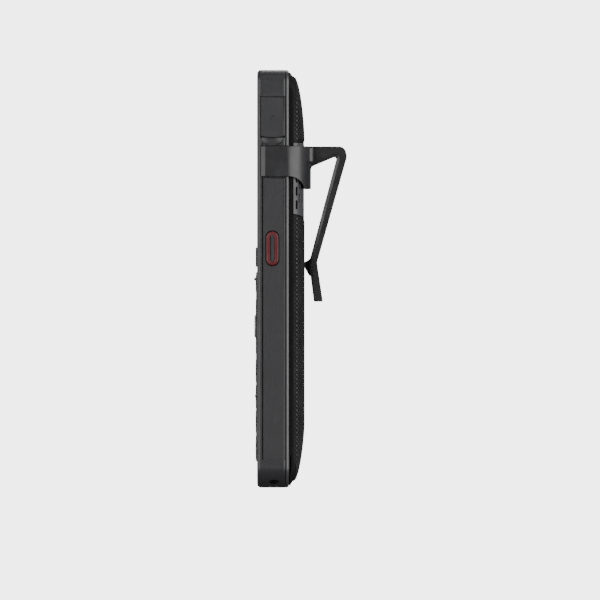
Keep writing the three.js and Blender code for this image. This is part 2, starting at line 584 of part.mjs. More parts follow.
// ---------------------------------------------------------------- materials
const finish = (color, roughness, metalness = 0) => new THREE.MeshStandardMaterial({ color, roughness, metalness });
const MATERIALS = {
  housing: finish(0x3d3e40, 0.55),
  keypad: finish(0x17181a, 0.5),
  key: finish(0x1b1c1e, 0.45),
  select: finish(0x8c8f92, 0.35, 0.6),
  glass: finish(0x08090a, 0.08),
  grip: finish(0x3a3b3d, 0.7),
  cover: finish(0x232325, 0.7),
  grille: finish(0x4a4b4d, 0.55),
  clip: finish(0x363739, 0.5),
  alert: finish(0x8e1f22, 0.4),
  board: finish(0x14402a, 0.5),
  steel: finish(0xb4b6b8, 0.3, 1),
  gold: finish(0xd2a94e, 0.25, 1),
  black: finish(0x101011, 0.6),
  battery: finish(0x26303c, 0.5),
};

// ---------------------------------------------------------------- assembly
const handset = new THREE.Group();

function add(name, solid, material) {
  const mesh = new THREE.Mesh(toGeometry(solid), material);
  mesh.name = name;
  handset.add(mesh);
}

add('front_cover', frontCover(), MATERIALS.housing);
add('display_window', displayWindow(), MATERIALS.glass);
add('lcd_module', lcdModule(), MATERIALS.steel);
add('earpiece', earpiece(), MATERIALS.black);
add('earpiece_mesh', earpieceMesh(), MATERIALS.steel);
add('status_light', statusLight(), MATERIALS.glass);
add('microphone', microphone(), MATERIALS.steel);
add('keypad_panel', keypadPanel(), MATERIALS.keypad);
add('keypad_membrane', keypadMembrane(), MATERIALS.black);
add('main_board', mainBoard(), MATERIALS.board);
add('shield_can', shieldCan(), MATERIALS.steel);
add('usb_port', usbPort(), MATERIALS.steel);

DIGIT_ROWS.forEach((z, row) => COLUMNS.forEach((x, column) => {
  const name = DIGIT_NAMES[row][column];
  add(`key_${name}`, name === '5' ? fiveKey() : key(x, z, DIGIT_KEY), MATERIALS.key);
}));
['left', 'middle', 'right'].forEach((name, column) => {
  add(`shortcut_key_${name}`, shortcutKey(COLUMNS[column]), MATERIALS.key);
  add(`soft_key_${name}`, key(COLUMNS[column], SOFT_ROW, SOFT_KEY), MATERIALS.key);
});
add('call_key', sideKey(-1), MATERIALS.key);
add('end_key', sideKey(1), MATERIALS.key);
add('nav_ring', navRing(), MATERIALS.key);
add('nav_carrier', navCarrier(), MATERIALS.black);
add('select_key', selectKey(), MATERIALS.select);

add('mid_housing', midHousing(), MATERIALS.housing);
add('rear_frame', rearFrame(), MATERIALS.housing);
['lower_left', 'lower_right', 'upper_left', 'upper_right'].forEach((name, i) =>
  add(`housing_screw_${name}`, screw(SCREW_PLACES[i]), MATERIALS.steel));
add('rear_cover', rearCover(), MATERIALS.cover);
add('speaker_grille', speakerGrille(), MATERIALS.grille);
add('battery_pack', battery(), MATERIALS.battery);
add('loudspeaker', loudspeaker(), MATERIALS.black);
add('vibration_motor', vibrationMotor(), MATERIALS.steel);
add('antenna', antenna(), MATERIALS.gold);

add('side_grip_right', sideGrip(1), MATERIALS.grip);
add('side_grip_left', sideGrip(-1), MATERIALS.grip);
add('alert_button_ring', alertRing(), MATERIALS.alert);
add('alert_button_cap', alertCap(), MATERIALS.grip);
add('volume_rocker', volumeRocker(), MATERIALS.key);
add('port_cover', portCover(), MATERIALS.grip);
CONTACT_PLACES.forEach((x, i) => add(`charge_contact_${i + 1}`, chargeContact(x), MATERIALS.gold));
add('clip_yoke', clipYoke(), MATERIALS.clip);
add('clip_arm', clipArm(), MATERIALS.clip);

export default handset;
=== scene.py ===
"""The looks of a rugged keypad handheld with a sprung belt clip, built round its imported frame.

Lengths are in millimetres until a mesh is made. X runs across the handset, -Y out of the keypad, +Z up.
"""

import json
import logging
import math
from dataclasses import dataclass, field
from enum import Enum
from typing import Any, Callable, Sequence

import bmesh
import bpy
import numpy as np
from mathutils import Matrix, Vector
from mathutils.geometry import tessellate_polygon

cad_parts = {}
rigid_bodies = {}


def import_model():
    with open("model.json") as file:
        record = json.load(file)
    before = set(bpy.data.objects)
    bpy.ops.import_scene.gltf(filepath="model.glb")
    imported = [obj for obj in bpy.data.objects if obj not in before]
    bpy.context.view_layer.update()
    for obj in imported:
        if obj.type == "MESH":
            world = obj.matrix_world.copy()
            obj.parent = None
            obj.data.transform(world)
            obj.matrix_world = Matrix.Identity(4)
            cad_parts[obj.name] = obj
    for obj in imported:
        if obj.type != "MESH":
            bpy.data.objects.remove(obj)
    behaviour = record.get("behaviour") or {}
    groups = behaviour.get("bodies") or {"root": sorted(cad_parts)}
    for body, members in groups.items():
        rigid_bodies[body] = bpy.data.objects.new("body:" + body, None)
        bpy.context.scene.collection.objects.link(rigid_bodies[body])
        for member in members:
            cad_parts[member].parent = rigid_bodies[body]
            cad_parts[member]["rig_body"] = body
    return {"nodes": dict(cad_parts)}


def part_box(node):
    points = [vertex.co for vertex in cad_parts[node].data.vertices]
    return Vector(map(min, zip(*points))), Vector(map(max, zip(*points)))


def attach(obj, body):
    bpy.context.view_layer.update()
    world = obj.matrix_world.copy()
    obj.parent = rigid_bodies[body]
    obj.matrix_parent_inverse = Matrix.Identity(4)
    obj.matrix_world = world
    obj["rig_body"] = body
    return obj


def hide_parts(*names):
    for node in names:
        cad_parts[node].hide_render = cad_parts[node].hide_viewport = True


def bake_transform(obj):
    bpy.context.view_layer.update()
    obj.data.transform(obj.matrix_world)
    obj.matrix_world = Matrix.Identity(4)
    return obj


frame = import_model()

MM = 0.001
DISPLAY = (-19.35, 19.35, 89.8, 141.4)
EARPIECE = ((0, 144.3), (5, 0.7))
SIDES = ("left", "middle", "right")
AHEAD = -8.0
BROKEN_EDGE = 0.12
RUBBED, SCRATCHED = "77777a", "8c8c8e"
Points = np.ndarray
Profile = Sequence[tuple[float, float]]
log = logging.getLogger("handheld")


# ---------------------------------------------------------------- outlines
class Plane(Enum):
    """The two axes that an outline is drawn in, then the axis that it is carried along."""

    XY = (0, 1, 2)
    XZ = (0, 2, 1)
    YZ = (1, 2, 0)


def extent(node: str) -> tuple[Points, Points]:
    """Gives a CAD node's box in millimetres.

    Args:
        node: the CAD node's name.

    Returns:
        Its lowest and its highest corner.
    """
    low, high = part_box(node)
    return np.array(low) / MM, np.array(high) / MM


def middle_of(node: str) -> Points:
    """Gives the middle of a CAD node in X and Z."""
    low, high = extent(node)
    return (low[[0, 2]] + high[[0, 2]]) / 2


def round_rect(low: Sequence[float], high: Sequence[float], radii: Any, steps: int = 8) -> Points:
    """Draws a rectangle with round corners, anticlockwise.

    Each corner is its centre plus its radius times (cos a, sin a), as a runs over a quarter turn.

    Args:
        low: the corner with the lowest coordinates.
        high: the corner with the highest coordinates.
        radii: one radius, or four: bottom right, top right, top left, bottom left.
        steps: how many chords make up a corner.

    Returns:
        The outline's points, one row each.
    """
    radius = np.maximum(np.broadcast_to(np.asarray(radii, float), 4), 0.01)
    side = np.array([[1, -1], [1, 1], [-1, 1], [-1, -1]])
    centre = np.where(side > 0, high, low) - side * radius[:, None]
    turn = np.linspace(0, np.pi / 2, steps + 1) + np.arange(-1, 3)[:, None] * np.pi / 2
    arc = np.stack([np.cos(turn), np.sin(turn)], -1) * radius[:, None, None]
    return (centre[:, None] + arc).reshape(-1, 2)


def pill(centre: Sequence[float], half: Sequence[float], steps: int = 12) -> Points:
    """Draws a rectangle whose short ends are half circles.

    Args:
        centre: its centre.
        half: half its width and half its length.
        steps: how many chords make up a quarter of an end.

    Returns:
        The outline's points.
    """
    middle, reach = np.array(centre, float), np.array(half, float)
    return round_rect(middle - reach, middle + reach, 0.995 * reach.min(), steps)


def side_pill(node: str, grow: float = 0.0, steps: int = 16) -> Points:
    """Draws the outline of a pill-shaped side button in Y and Z.

    Args:
        node: the button's CAD node.
        grow: how much wider than the button, all round.
        steps: how many chords make up a quarter of an end.

    Returns:
        The outline's points.
    """
    low, high = extent(node)
    return pill((low + high)[1:] / 2, (high - low)[1:] / 2 + grow, steps)


def circle(centre: Sequence[float], radius: float, count: int = 48) -> Points:
    """Draws a circle as centre plus radius times (cos a, sin a).

    Args:
        centre: its centre.
        radius: its radius.
        count: the number of points.

    Returns:
        The outline's points, anticlockwise.
    """
    turn = np.linspace(0, 2 * np.pi, count, endpoint=False)
    return np.array(centre, float) + radius * np.stack([np.cos(turn), np.sin(turn)], -1)


def fillet(corners: Sequence[tuple[float, float, float]], steps: int = 6) -> Points:
    """Rounds the corners of a polygon.

    A corner's arc has its centre on the angle's bisector, at radius over the sine of half the angle, and it
    touches both sides.

    Args:
        corners: each corner as (u, v, radius), anticlockwise. A radius of 0 keeps it sharp.
        steps: how many chords make up an arc.

    Returns:
        The outline's points.
    """
    spots = np.array([corner[:2] for corner in corners], float)
    back = np.roll(spots, 1, 0) - spots
    ahead = np.roll(spots, -1, 0) - spots
    back /= np.linalg.norm(back, axis=1, keepdims=True)
    ahead /= np.linalg.norm(ahead, axis=1, keepdims=True)
    pieces = []
    for spot, to_back, to_ahead, (_, _, radius) in zip(spots, back, ahead, corners):
        bisector = to_back + to_ahead
        length = np.linalg.norm(bisector)
        if radius == 0 or length < 1e-6:
            pieces.append(spot[None])
            continue
        half = math.acos(np.clip(np.dot(to_back, bisector / length), -1, 1))
        centre = spot + bisector / length * radius / math.sin(half)
        first = spot + to_back * radius / math.tan(half) - centre
        last = spot + to_ahead * radius / math.tan(half) - centre
        start = math.atan2(first[1], first[0])
        sweep = (math.atan2(last[1], last[0]) - start + np.pi) % (2 * np.pi) - np.pi
        turn = start + np.linspace(0, 1, steps + 1) * sweep
        pieces.append(centre + radius * np.stack([np.cos(turn), np.sin(turn)], -1))
    return np.concatenate(pieces)


def offset(loop: Points, distance: Any) -> Points:
    """Moves the sides of an anticlockwise outline outwards.

    A point goes along the sum of its two sides' normals, over one plus the cosine between them.

    Args:
        loop: the outline.
        distance: how far, one value or one for each point. Negative goes inwards.

    Returns:
        The moved outline, with as many points.
    """
    ahead = np.roll(loop, -1, 0) - loop
    ahead = ahead / np.linalg.norm(ahead, axis=1, keepdims=True)
    normal = np.stack([ahead[:, 1], -ahead[:, 0]], 1)
    before = np.roll(normal, 1, 0)
    mitre = (normal + before) / (1 + np.sum(normal * before, axis=1, keepdims=True))
    return loop + np.reshape(distance, (-1, 1)) * mitre


def rounded(low: float, high: float, low_rim: float = 0.15, high_rim: float = 0.15, steps: int = 3) -> Profile:
    """Gives the edge of a slab whose rims are quarter rounds: inset r(1 - sin a), drop r(1 - cos a).

    Args:
        low: the low face's level.
        high: the high face's level.
        low_rim: the low rim's radius.
        high_rim: the high rim's radius.
        steps: how many chords make up a rim.

    Returns:
        Pairs of (inset, level) from the low face to the high one.
    """
    turn = np.linspace(0, np.pi / 2, steps + 1)
    bottom = np.stack([low_rim * (1 - np.sin(turn)), low + low_rim * (1 - np.cos(turn))], 1)
    top = np.stack([high_rim * (1 - np.sin(turn)), high - high_rim * (1 - np.cos(turn))], 1)[::-1]
    return [tuple(pair) for pair in np.concatenate([bottom, top])]


# ---------------------------------------------------------------- meshes
def lift(loop: Points, level: Any, plane: Plane) -> Points:
    """Puts a flat outline in space.

    Args:
        loop: points drawn in the plane's first two axes.
        level: their place along its third axis, one value or one for each point.
        plane: the plane.

    Returns:
        Points in X, Y, Z.
    """
    first, second, third = plane.value
    points = np.empty((len(loop), 3))
    points[:, first], points[:, second], points[:, third] = loop[:, 0], loop[:, 1], level
    return points


class Shell:
    """Collects grids and filled outlines in millimetres, and makes one closed mesh of them in metres."""

    def __init__(self) -> None:
        """Starts empty."""
        self._points: list[Points] = []
        self._faces: list[Points] = []
        self._count = 0

    def faces(self, points: Points, faces: Points) -> None:
        """Adds points and the faces between them.

        Args:
            points: rows of X, Y, Z.
            faces: rows of indices into points.
        """
        self._points.append(points)
        self._faces.append(np.asarray(faces) + self._count)
        self._count += len(points)

    def grid(self, points: Points, wrap_rows: bool = False, wrap_columns: bool = False) -> None:
        """Adds a grid of four-sided faces.

        Args:
            points: rows by columns by X, Y, Z.
            wrap_rows: whether the last row joins the first.
            wrap_columns: whether the last column joins the first.
        """
        rows, columns = points.shape[:2]
        index = np.arange(rows * columns).reshape(rows, columns)
        index = np.concatenate([index, index[:1]]) if wrap_rows else index
        index = np.concatenate([index, index[:, :1]], 1) if wrap_columns else index
        corners = [index[:-1, :-1], index[:-1, 1:], index[1:, 1:], index[1:, :-1]]
        self.faces(points.reshape(-1, 3), np.stack(corners, -1).reshape(-1, 4))

    def fill(self, loops: Sequence[Points], level: float, plane: Plane) -> None:
        """Adds a flat face with holes.

        Args:
            loops: the outline, then the outline of each hole.
            level: the face's place along the plane's third axis.
            plane: the plane that the outlines are drawn in.
        """
        flat = [[Vector((u, v, 0)) for u, v in loop] for loop in loops]
        self.faces(lift(np.concatenate(loops), level, plane), np.array(tessellate_polygon(flat)))

    def carry(self, loop: Points, levels: Sequence[float], plane: Plane, capped: bool = True) -> None:
        """Carries an outline through levels.

        Args:
            loop: the outline.
            levels: its places along the plane's third axis.
            plane: the plane that it is drawn in.
            capped: whether flat faces close its ends.
        """
        self.grid(np.stack([lift(loop, level, plane) for level in levels]), wrap_columns=True)
        for level in (levels[0], levels[-1]) if capped else ():
            self.fill([loop], level, plane)

    def solid(self, name: str) -> bpy.types.Object:
        """Makes the mesh, with doubled points merged and faces turned outwards.

        Args:
            name: the object's name.

        Returns:
            The object, linked into the scene.
        """
        mesh = bpy.data.meshes.new(name)
        faces = [face for block in self._faces for face in block.tolist()]
        mesh.from_pydata((np.concatenate(self._points) * MM).tolist(), [], faces)
        work = bmesh.new()
        work.from_mesh(mesh)
        bmesh.ops.remove_doubles(work, verts=work.verts, dist=2e-7)
        bmesh.ops.recalc_face_normals(work, faces=work.faces)
        work.to_mesh(mesh)
        work.free()
        piece = bpy.data.objects.new(name, mesh)
        bpy.context.scene.collection.objects.link(piece)
        return piece


def slab(
    name: str,
    plane: Plane,
    outline: Points,
    profile: Profile,
    holes: Sequence[tuple[Points, Profile]] = (),
    share: Any = 1.0,
) -> bpy.types.Object:
    """Makes a flat piece: an outline carried through its levels, drawn in by the inset at each one.

    Args:
        name: the object's name.
        plane: the plane that the outline is drawn in.
        outline: the outline, anticlockwise.
        profile: (inset, level) from one face to the other.
        holes: each hole's outline and its profile, whose insets widen it.
        share: the share of the inset that each point of the outline takes.

    Returns:
        The object.
    """
    shell = Shell()
    edges = [([offset(outline, -inset * share) for inset, _ in profile], profile)]
    edges += [([offset(hole, inset) for inset, _ in levels], levels) for hole, levels in holes]
    for loops, levels in edges:
        rows = [lift(loop, level, plane) for loop, (_, level) in zip(loops, levels)]
        shell.grid(np.stack(rows), wrap_columns=True)
    for end in (0, -1):
        shell.fill([loops[end] for loops, _ in edges], profile[end][1], plane)
    return shell.solid(name)


def revolve(
    name: str, section: Points, centre: Sequence[float], plane: Plane, count: int = 96,
) -> bpy.types.Object:
    """Turns a closed section of (radius, level) points about an axis: centre + radius (cos a, sin a).

    Args:
        name: the object's name.
        section: the section. Points on the axis have radius 0.
        centre: the axis's place in the plane.
        plane: the plane that the circles lie in.
        count: the number of steps in a full turn.

    Returns:
        The object.
    """
    turn = np.linspace(0, 2 * np.pi, count, endpoint=False)
    rim = np.stack([np.cos(turn), np.sin(turn)], -1)
    rows = [lift(np.array(centre, float) + radius * rim, level, plane) for radius, level in section]
    shell = Shell()
    shell.grid(np.stack(rows), wrap_rows=bool(section[0, 0] > 0), wrap_columns=True)
    return shell.solid(name)


def prism(plane: Plane, outline: Points, low: float, high: float) -> bpy.types.Object:
    """Makes a plain prism to cut or join with.

    Args:
        plane: the plane that the outline is drawn in.
        outline: the outline.
        low: its low level.
        high: its high level.

    Returns:
        The object.
    """
    return slab("tool", plane, outline, [(0, low), (0, high)])


def block(low: Sequence[float], high: Sequence[float]) -> bpy.types.Object:
    """Makes a box between two corners, to cut or join with."""
    corners = round_rect(low[:2], high[:2], 0.01, 1)
    return prism(Plane.XY, corners, low[2], high[2])


def side_blocks(inner: float, outer: float, low: Sequence[float], high: Sequence[float]) -> list[bpy.types.Object]:
    """Makes a box on the right side and its mirror image on the left.

    Args:
        inner: its distance from the middle.
        outer: how far out it ends.
        low: its lowest Y and Z.
        high: its highest Y and Z.

    Returns:
        The two boxes.
    """
    return [block((a, *low), (b, *high)) for a, b in ((inner, outer), (-outer, -inner))]


def flared(outline: Points, low: float, face: float) -> bpy.types.Object:
    """Makes a cutter for the front whose mouth widens at 45 degrees, so that the hole has a broken edge.

    Args:
        outline: the hole's outline in X and Z.
        low: the level of the hole's floor.
        face: the level of the face that it opens in.

    Returns:
        The object.
    """
    levels = [(0, low), (0, face + BROKEN_EDGE), (-BROKEN_EDGE, face), (-BROKEN_EDGE, AHEAD)]
    return slab("tool", Plane.XZ, outline, levels)


class Join(Enum):
    """What a tool does to the piece."""

    CUT = "DIFFERENCE"
    ADD = "UNION"
    KEEP = "INTERSECT"


def combine(piece: bpy.types.Object, how: Join, *tools: bpy.types.Object) -> bpy.types.Object:
    """Cuts tools from a piece, adds them, or keeps what lies inside them, and removes the tools.

    Args:
        piece: the piece.
        how: what the tools do.
        *tools: closed meshes.

    Returns:
        The piece.
    """
    for tool in tools:
        modifier = piece.modifiers.new("combine", "BOOLEAN")
        modifier.solver = "MANIFOLD"
        modifier.operation = how.value
        modifier.object = tool
    bpy.context.view_layer.update()
    shaped = piece.evaluated_get(bpy.context.evaluated_depsgraph_get())
    mesh = bpy.data.meshes.new_from_object(shaped)
    piece.modifiers.clear()
    piece.data = mesh
    mesh.name = piece.name
    for tool in tools:
        bpy.data.objects.remove(tool)
    return piece


def smooth(piece: bpy.types.Object, degrees: float = 32) -> bpy.types.Object:
    """Shades a piece smooth up to a crease angle, and lets large faces lead the normals.

    Args:
        piece: the piece.
        degrees: the crease angle.

    Returns:
        The piece.
    """
    piece.data.shade_smooth()
    piece.data.set_sharp_from_angle(angle=math.radians(degrees))
    modifier = piece.modifiers.new("normals", "WEIGHTED_NORMAL")
    modifier.keep_sharp = True
    return piece


# ---------------------------------------------------------------- finishes
def linear(colour: str) -> tuple[float, float, float, float]:
    """Turns an sRGB hex colour linear: c / 12.92 below 0.04045, else ((c + 0.055) / 1.055) to the power 2.4.

    Args:
        colour: six hex digits.

    Returns:
        Red, green, blue and an alpha of 1.
    """
    parts = np.array([int(colour[i:i + 2], 16) for i in (0, 2, 4)]) / 255
    parts = np.where(parts <= 0.04045, parts / 12.92, ((parts + 0.055) / 1.055) ** 2.4)
    return (*parts.tolist(), 1.0)


def add(tree: bpy.types.NodeTree, kind: str, settings: dict[str, Any], inputs: dict[Any, Any]) -> bpy.types.Node:
    """Adds a node.

    Args:
        tree: the material's tree.
        kind: the node's type, without its ShaderNode prefix.
        settings: attribute names and values.
        inputs: a socket's name or number, and its value or the output socket to link to it.

    Returns:
        The node.
    """
    node = tree.nodes.new("ShaderNode" + kind)
    for name, value in settings.items():
        setattr(node, name, value)
    for socket, value in inputs.items():
        if isinstance(value, bpy.types.NodeSocket):
            tree.links.new(value, node.inputs[socket])
        else:
            node.inputs[socket].default_value = value
    return node


@dataclass(frozen=True)
class Finish:
    """A moulded, painted or drawn surface: a colour with soft patches, a grain, and gloss that varies."""

    name: str
    colour: str
    roughness: float
    second: str = ""
    metallic: float = 0.0
    ior: float = 1.5
    specular: float = 0.5
    coat: float = 0.0
    sheen: float = 0.0
    grain: float = 0.35
    depth: float = 0.012
    stretch: tuple[float, float, float] = (1.0, 1.0, 1.0)
    patch: float = 9.0
    gloss_swing: float = 0.06
    scuff: float = 0.0
    wear: float = 0.0

    def material(self) -> bpy.types.Material:
        """Gives the material, made the first time that it is asked for.

        Returns:
            The material.
        """
        found = bpy.data.materials.get(self.name)
        return found or self._make()

    def _make(self) -> bpy.types.Material:
        """Builds the node tree.

        The grain is a noise whose cells are the grain's size, used as height. A slower noise, with cells the
        size of a patch, moves the colour between the two tones and the roughness by the gloss swing.

        Returns:
            The new material.
        """
        material = bpy.data.materials.new(self.name)
        material.use_nodes = True
        tree = material.node_tree
        tree.nodes.clear()
        place = add(tree, "TexCoord", {}, {}).outputs["Object"]
        drawn = add(tree, "Mapping", {}, {"Vector": place, "Scale": self.stretch}).outputs[0]
        fine, slow = 1 / (self.grain * MM), 1 / (self.patch * MM)
        grain = add(tree, "TexNoise", {}, {"Vector": drawn, "Scale": fine, "Detail": 2.0}).outputs[0]
        patch = add(tree, "TexNoise", {}, {"Vector": place, "Scale": slow, "Detail": 3.0}).outputs[0]
        lightened = self.second or self.colour
        tone = add(tree, "Mix", {"data_type": "RGBA"}, {
            0: patch, 6: linear(self.colour), 7: linear(lightened)}).outputs[2]
        low, high = self.roughness - self.gloss_swing, self.roughness + self.gloss_swing
        gloss = add(tree, "MapRange", {}, {0: patch, 1: 0.3, 2: 0.7, 3: low, 4: high}).outputs[0]
        if self.scuff:
            tone, gloss = self._scuffed(tree, place, tone, gloss)
        if self.wear:
            tone = self._worn(tree, patch, tone)
        bump = add(tree, "Bump", {}, {"Strength": 1.0, "Distance": self.depth * MM, "Height": grain}).outputs[0]
        inputs = {"Base Color": tone, "Roughness": gloss, "Normal": bump, "Metallic": self.metallic,
                  "Coat Weight": self.coat, "Coat Roughness": 0.08, "Sheen Weight": self.sheen}
        if not self.metallic:
            inputs |= {"IOR": self.ior, "Specular IOR Level": self.specular}
        shader = add(tree, "BsdfPrincipled", {}, inputs).outputs[0]
        add(tree, "OutputMaterial", {}, {"Surface": shader})
        return material

    def _worn(self, tree: bpy.types.NodeTree, patch: Any, tone: Any) -> Any:
        """Rubs the edges a little paler, more in some places than in others.

        A normal rounded over a quarter of a millimetre leaves the true one only beside an edge. One minus
        their dot product, times the patch noise, is how worn a point is.

        Args:
            tree: the material's tree.
            patch: the slow noise.
            tone: the colour so far.

        Returns:
            The colour with worn edges.
        """
        soft = add(tree, "Bevel", {"samples": 4}, {"Radius": 0.25 * MM}).outputs[0]
        true = add(tree, "NewGeometry", {}, {}).outputs["True Normal"]
        dot = add(tree, "VectorMath", {"operation": "DOT_PRODUCT"}, {0: soft, 1: true}).outputs["Value"]
        edge = add(tree, "MapRange", {}, {0: dot, 1: 0.98, 2: 0.85, 3: 0.0, 4: self.wear}).outputs[0]
        worn = add(tree, "Math", {"operation": "MULTIPLY"}, {0: edge, 1: patch}).outputs[0]
        return add(tree, "Mix", {"data_type": "RGBA"}, {0: worn, 6: tone, 7: linear(RUBBED)}).outputs[2]

    def _scuffed(self, tree: bpy.types.NodeTree, place: Any, tone: Any, gloss: Any) -> tuple[Any, Any]:
        """Adds hairline scuffs: a noise drawn out to streaks, of which only the highest crests show.

        Args:
            tree: the material's tree.
            place: the coordinates.
            tone: the colour so far.
            gloss: the roughness so far.

        Returns:
            The colour and the roughness with the scuffs.
        """
        drawn = add(tree, "Mapping", {}, {"Vector": place, "Rotation": (0.5, 0.3, 0.4), "Scale": (1, 1, 0.12)})
        per_metre = 900.0
        streak = add(tree, "TexNoise", {}, {"Vector": drawn.outputs[0], "Scale": per_metre, "Detail": 4.0}).outputs[0]
        crest = add(tree, "MapRange", {}, {0: streak, 1: 0.66, 2: 0.78, 3: 0.0, 4: self.scuff}).outputs[0]
        tone = add(tree, "Mix", {"data_type": "RGBA"}, {0: crest, 6: tone, 7: linear(SCRATCHED)}).outputs[2]
        gloss = add(tree, "Math", {"operation": "SUBTRACT"}, {0: gloss, 1: crest}).outputs[0]
        return tone, gloss


@dataclass(frozen=True)
class CoverGlass(Finish):
    """Toughened glass printed black from behind, with a display under it that is switched off."""

    def _make(self) -> bpy.types.Material:
        """Builds the node tree: inside the display's rectangle the black turns to the panel's dark grey.

        The rectangle is the product of four steps, one for each side, on Object coordinates.

        Returns:
            The new material.
        """
        material = super()._make()
        tree = material.node_tree
        shader = next(node for node in tree.nodes if node.type == "BSDF_PRINCIPLED")
        place = add(tree, "TexCoord", {}, {}).outputs["Object"]
        axes = add(tree, "SeparateXYZ", {}, {0: place}).outputs
        inside = None
        for number, side in enumerate(DISPLAY):
            comparison = "LESS_THAN" if number % 2 else "GREATER_THAN"
            axis = axes[2 * (number // 2)]
            step = add(tree, "Math", {"operation": comparison}, {0: axis, 1: side * MM}).outputs[0]
            both = {0: inside, 1: step}
            inside = add(tree, "Math", {"operation": "MULTIPLY"}, both).outputs[0] if inside else step
        tone = add(tree, "Mix", {"data_type": "RGBA"}, {0: inside, 6: linear(self.colour), 7: linear(self.second)})
        tree.links.new(tone.outputs[2], shader.inputs["Base Color"])
        return material


# PC/ABS off a spark-eroded mould: satin, with a fine even grain and broad soft glints.
HOUSING = Finish("moulded_pc_abs", "232325", 0.42, "29292b", specular=0.4, grain=0.45, depth=0.010, wear=0.12)
# The same plastic off a finer mould: glossier, and painted a shade paler than the housing so that its chamfer draws a
# bright line; the paler colour is a painted highlight.
PALER_TRIM_PAINTED_HIGHLIGHT = Finish("moulded_rim_painted_highlight", "2e2e30", 0.36, "343436", grain=0.45, depth=0.007, wear=0.15)
# Glass-filled nylon: darker and closer, with a few hairline scuffs from belts and pockets.
NYLON = Finish("glass_filled_nylon", "18181a", 0.38, "1e1e20", specular=0.45, grain=0.40, depth=0.010,
               scuff=0.05, wear=0.15)
# Overmoulded elastomer: dull, almost no glint, a very slight velvet at grazing angles.
ELASTOMER = Finish("elastomer_overmould", "202022", 0.55, "272729", specular=0.4, sheen=0.02, grain=0.30,
                   depth=0.012)
# Near-black moulded plastic of the back, painted darker than the pads on it so that the valleys between them hold
# painted shade; matt.
KNURLED_PAINTED_SHADE = Finish("knurled_back_painted_shade", "060607", 0.58, "0b0a0c", specular=0.14, grain=0.30, depth=0.010, gloss_swing=0.1)
# The knurl's pads, rubbed a little glossier than the valleys: they twinkle one by one.
KNURL_PAD = Finish("knurl_pads", "0d0c0e", 0.48, "161417", specular=0.34, grain=0.25, depth=0.006, patch=4.0,
                   gloss_swing=0.1)
# A moulded insert, the palest grey of the shells, satin.
INSERT = Finish("moulded_insert", "343436", 0.44, "3c3c3e", specular=0.4, grain=0.40, depth=0.010)
# The keypad's black plate: matt, so that it sinks behind the keys.
KEYPAD = Finish("keypad_plate", "040405", 0.48, "080809", specular=0.25, grain=0.35, depth=0.008)
# Lacquered polycarbonate caps: black, with a small soft glint on every rim.
KEYCAP = Finish("keycap_polycarbonate", "060607", 0.40, "0b0b0c", specular=0.3, grain=0.30, depth=0.006)
# Silver lacquer with fine flake: half metallic, under a thin clear coat.
LACQUER = Finish("silver_lacquer", "7c7e80", 0.30, "88898b", metallic=0.4, coat=0.3, grain=0.20, depth=0.002)
# Plastic dyed through in deep red: a little smoother than the housing, with a narrower glint.
ALERT_RED = Finish("red_dyed_plastic", "460910", 0.38, "520e15", coat=0.05, grain=0.30, depth=0.005)
# Polished glass: a near mirror, waved a very little by its tempering.
GLASS = CoverGlass("printed_cover_glass", "050506", 0.06, "0c0d0f", coat=0.5, grain=2.0, depth=0.0005,
                   gloss_swing=0.01)
# Pad-printed inks: flat colour, even and matt, with the faint tooth of the surface below.
PRINT = Finish("pale_print", "c9cbcc", 0.5, "d4d5d6", grain=0.15, depth=0.004)
PRINT_GREEN = Finish("green_print", "2f9a4c", 0.5, "37a555", grain=0.15, depth=0.004)
PRINT_RED = Finish("red_print", "b5282c", 0.5, "c23135", grain=0.15, depth=0.004)
PRINT_DARK = Finish("dark_print", "0a0a0b", 0.6, "101011", grain=0.15, depth=0.004)
# Rolled and stamped steel: pale, with fine lines drawn along the strip.
STEEL = Finish("stamped_steel", "a9abad", 0.32, "b6b8ba", metallic=1.0, grain=0.12, depth=0.003, stretch=(1, 1, 0.06))
# Blackened wire mesh, too fine to show as wires: drawn as a deep coarse grain instead.
MESH = Finish("blackened_mesh", "1c1c1d", 0.45, "242425", metallic=1.0, grain=0.25, depth=0.03)
# Gold plate on contacts and antenna: warm and bright.
GOLD = Finish("gold_plate", "c89b45", 0.25, "d6ab55", metallic=1.0, grain=0.15, depth=0.002)
# Solder mask: green lacquer that lies in small waves over its tracks.
BOARD = Finish("solder_mask", "0f3a24", 0.35, "14482c", coat=0.4, grain=0.6, depth=0.010, patch=3.0)
# Plain black of seals, boots, cloth and inner mouldings: dull and dark.
BLACK = Finish("moulded_black", "0d0d0e", 0.55, "131314", grain=0.30, depth=0.010)
# The battery's printed film sleeve: dark blue, with a low even shine.
SLEEVE = Finish("printed_sleeve", "1d2733", 0.45, "243040", grain=0.25, depth=0.004)


# ---------------------------------------------------------------- placing
def set_down(piece: bpy.types.Object, finish: Finish, slot: str, *nodes: str, body: str = "") -> bpy.types.Object:
    """Gives a piece its finish and its body, and hides the CAD nodes that it replaces.

    Args:
        piece: the piece, already in place.
        finish: its finish.
        slot: the record's material slot; not used.
        *nodes: the CAD nodes that it replaces.
        body: the body that it rides on, by default the first replaced node's.

    Returns:
        The piece.
    """
    piece.data.materials.clear()
    piece.data.materials.append(finish.material())
    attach(piece, body or frame["nodes"][nodes[0]]["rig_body"])
    if nodes:
        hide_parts(*nodes)
    log.info("%s: %d faces, %s", piece.name, len(piece.data.polygons), finish.name)
    return piece


def mark(name: str, outline: Points, face: float, proud: float = 0.02, sunk: float = 0.12) -> bpy.types.Object:
    """Makes a thin print on a face that looks along -Y.

    Args:
        name: the object's name.
        outline: its outline in X and Z.
        face: the face's level.
        proud: how far it stands out of the face.
        sunk: how far it goes in.

    Returns:
        The object.
    """
    return slab(name, Plane.XZ, outline, [(0, face - proud), (0, face + sunk)])


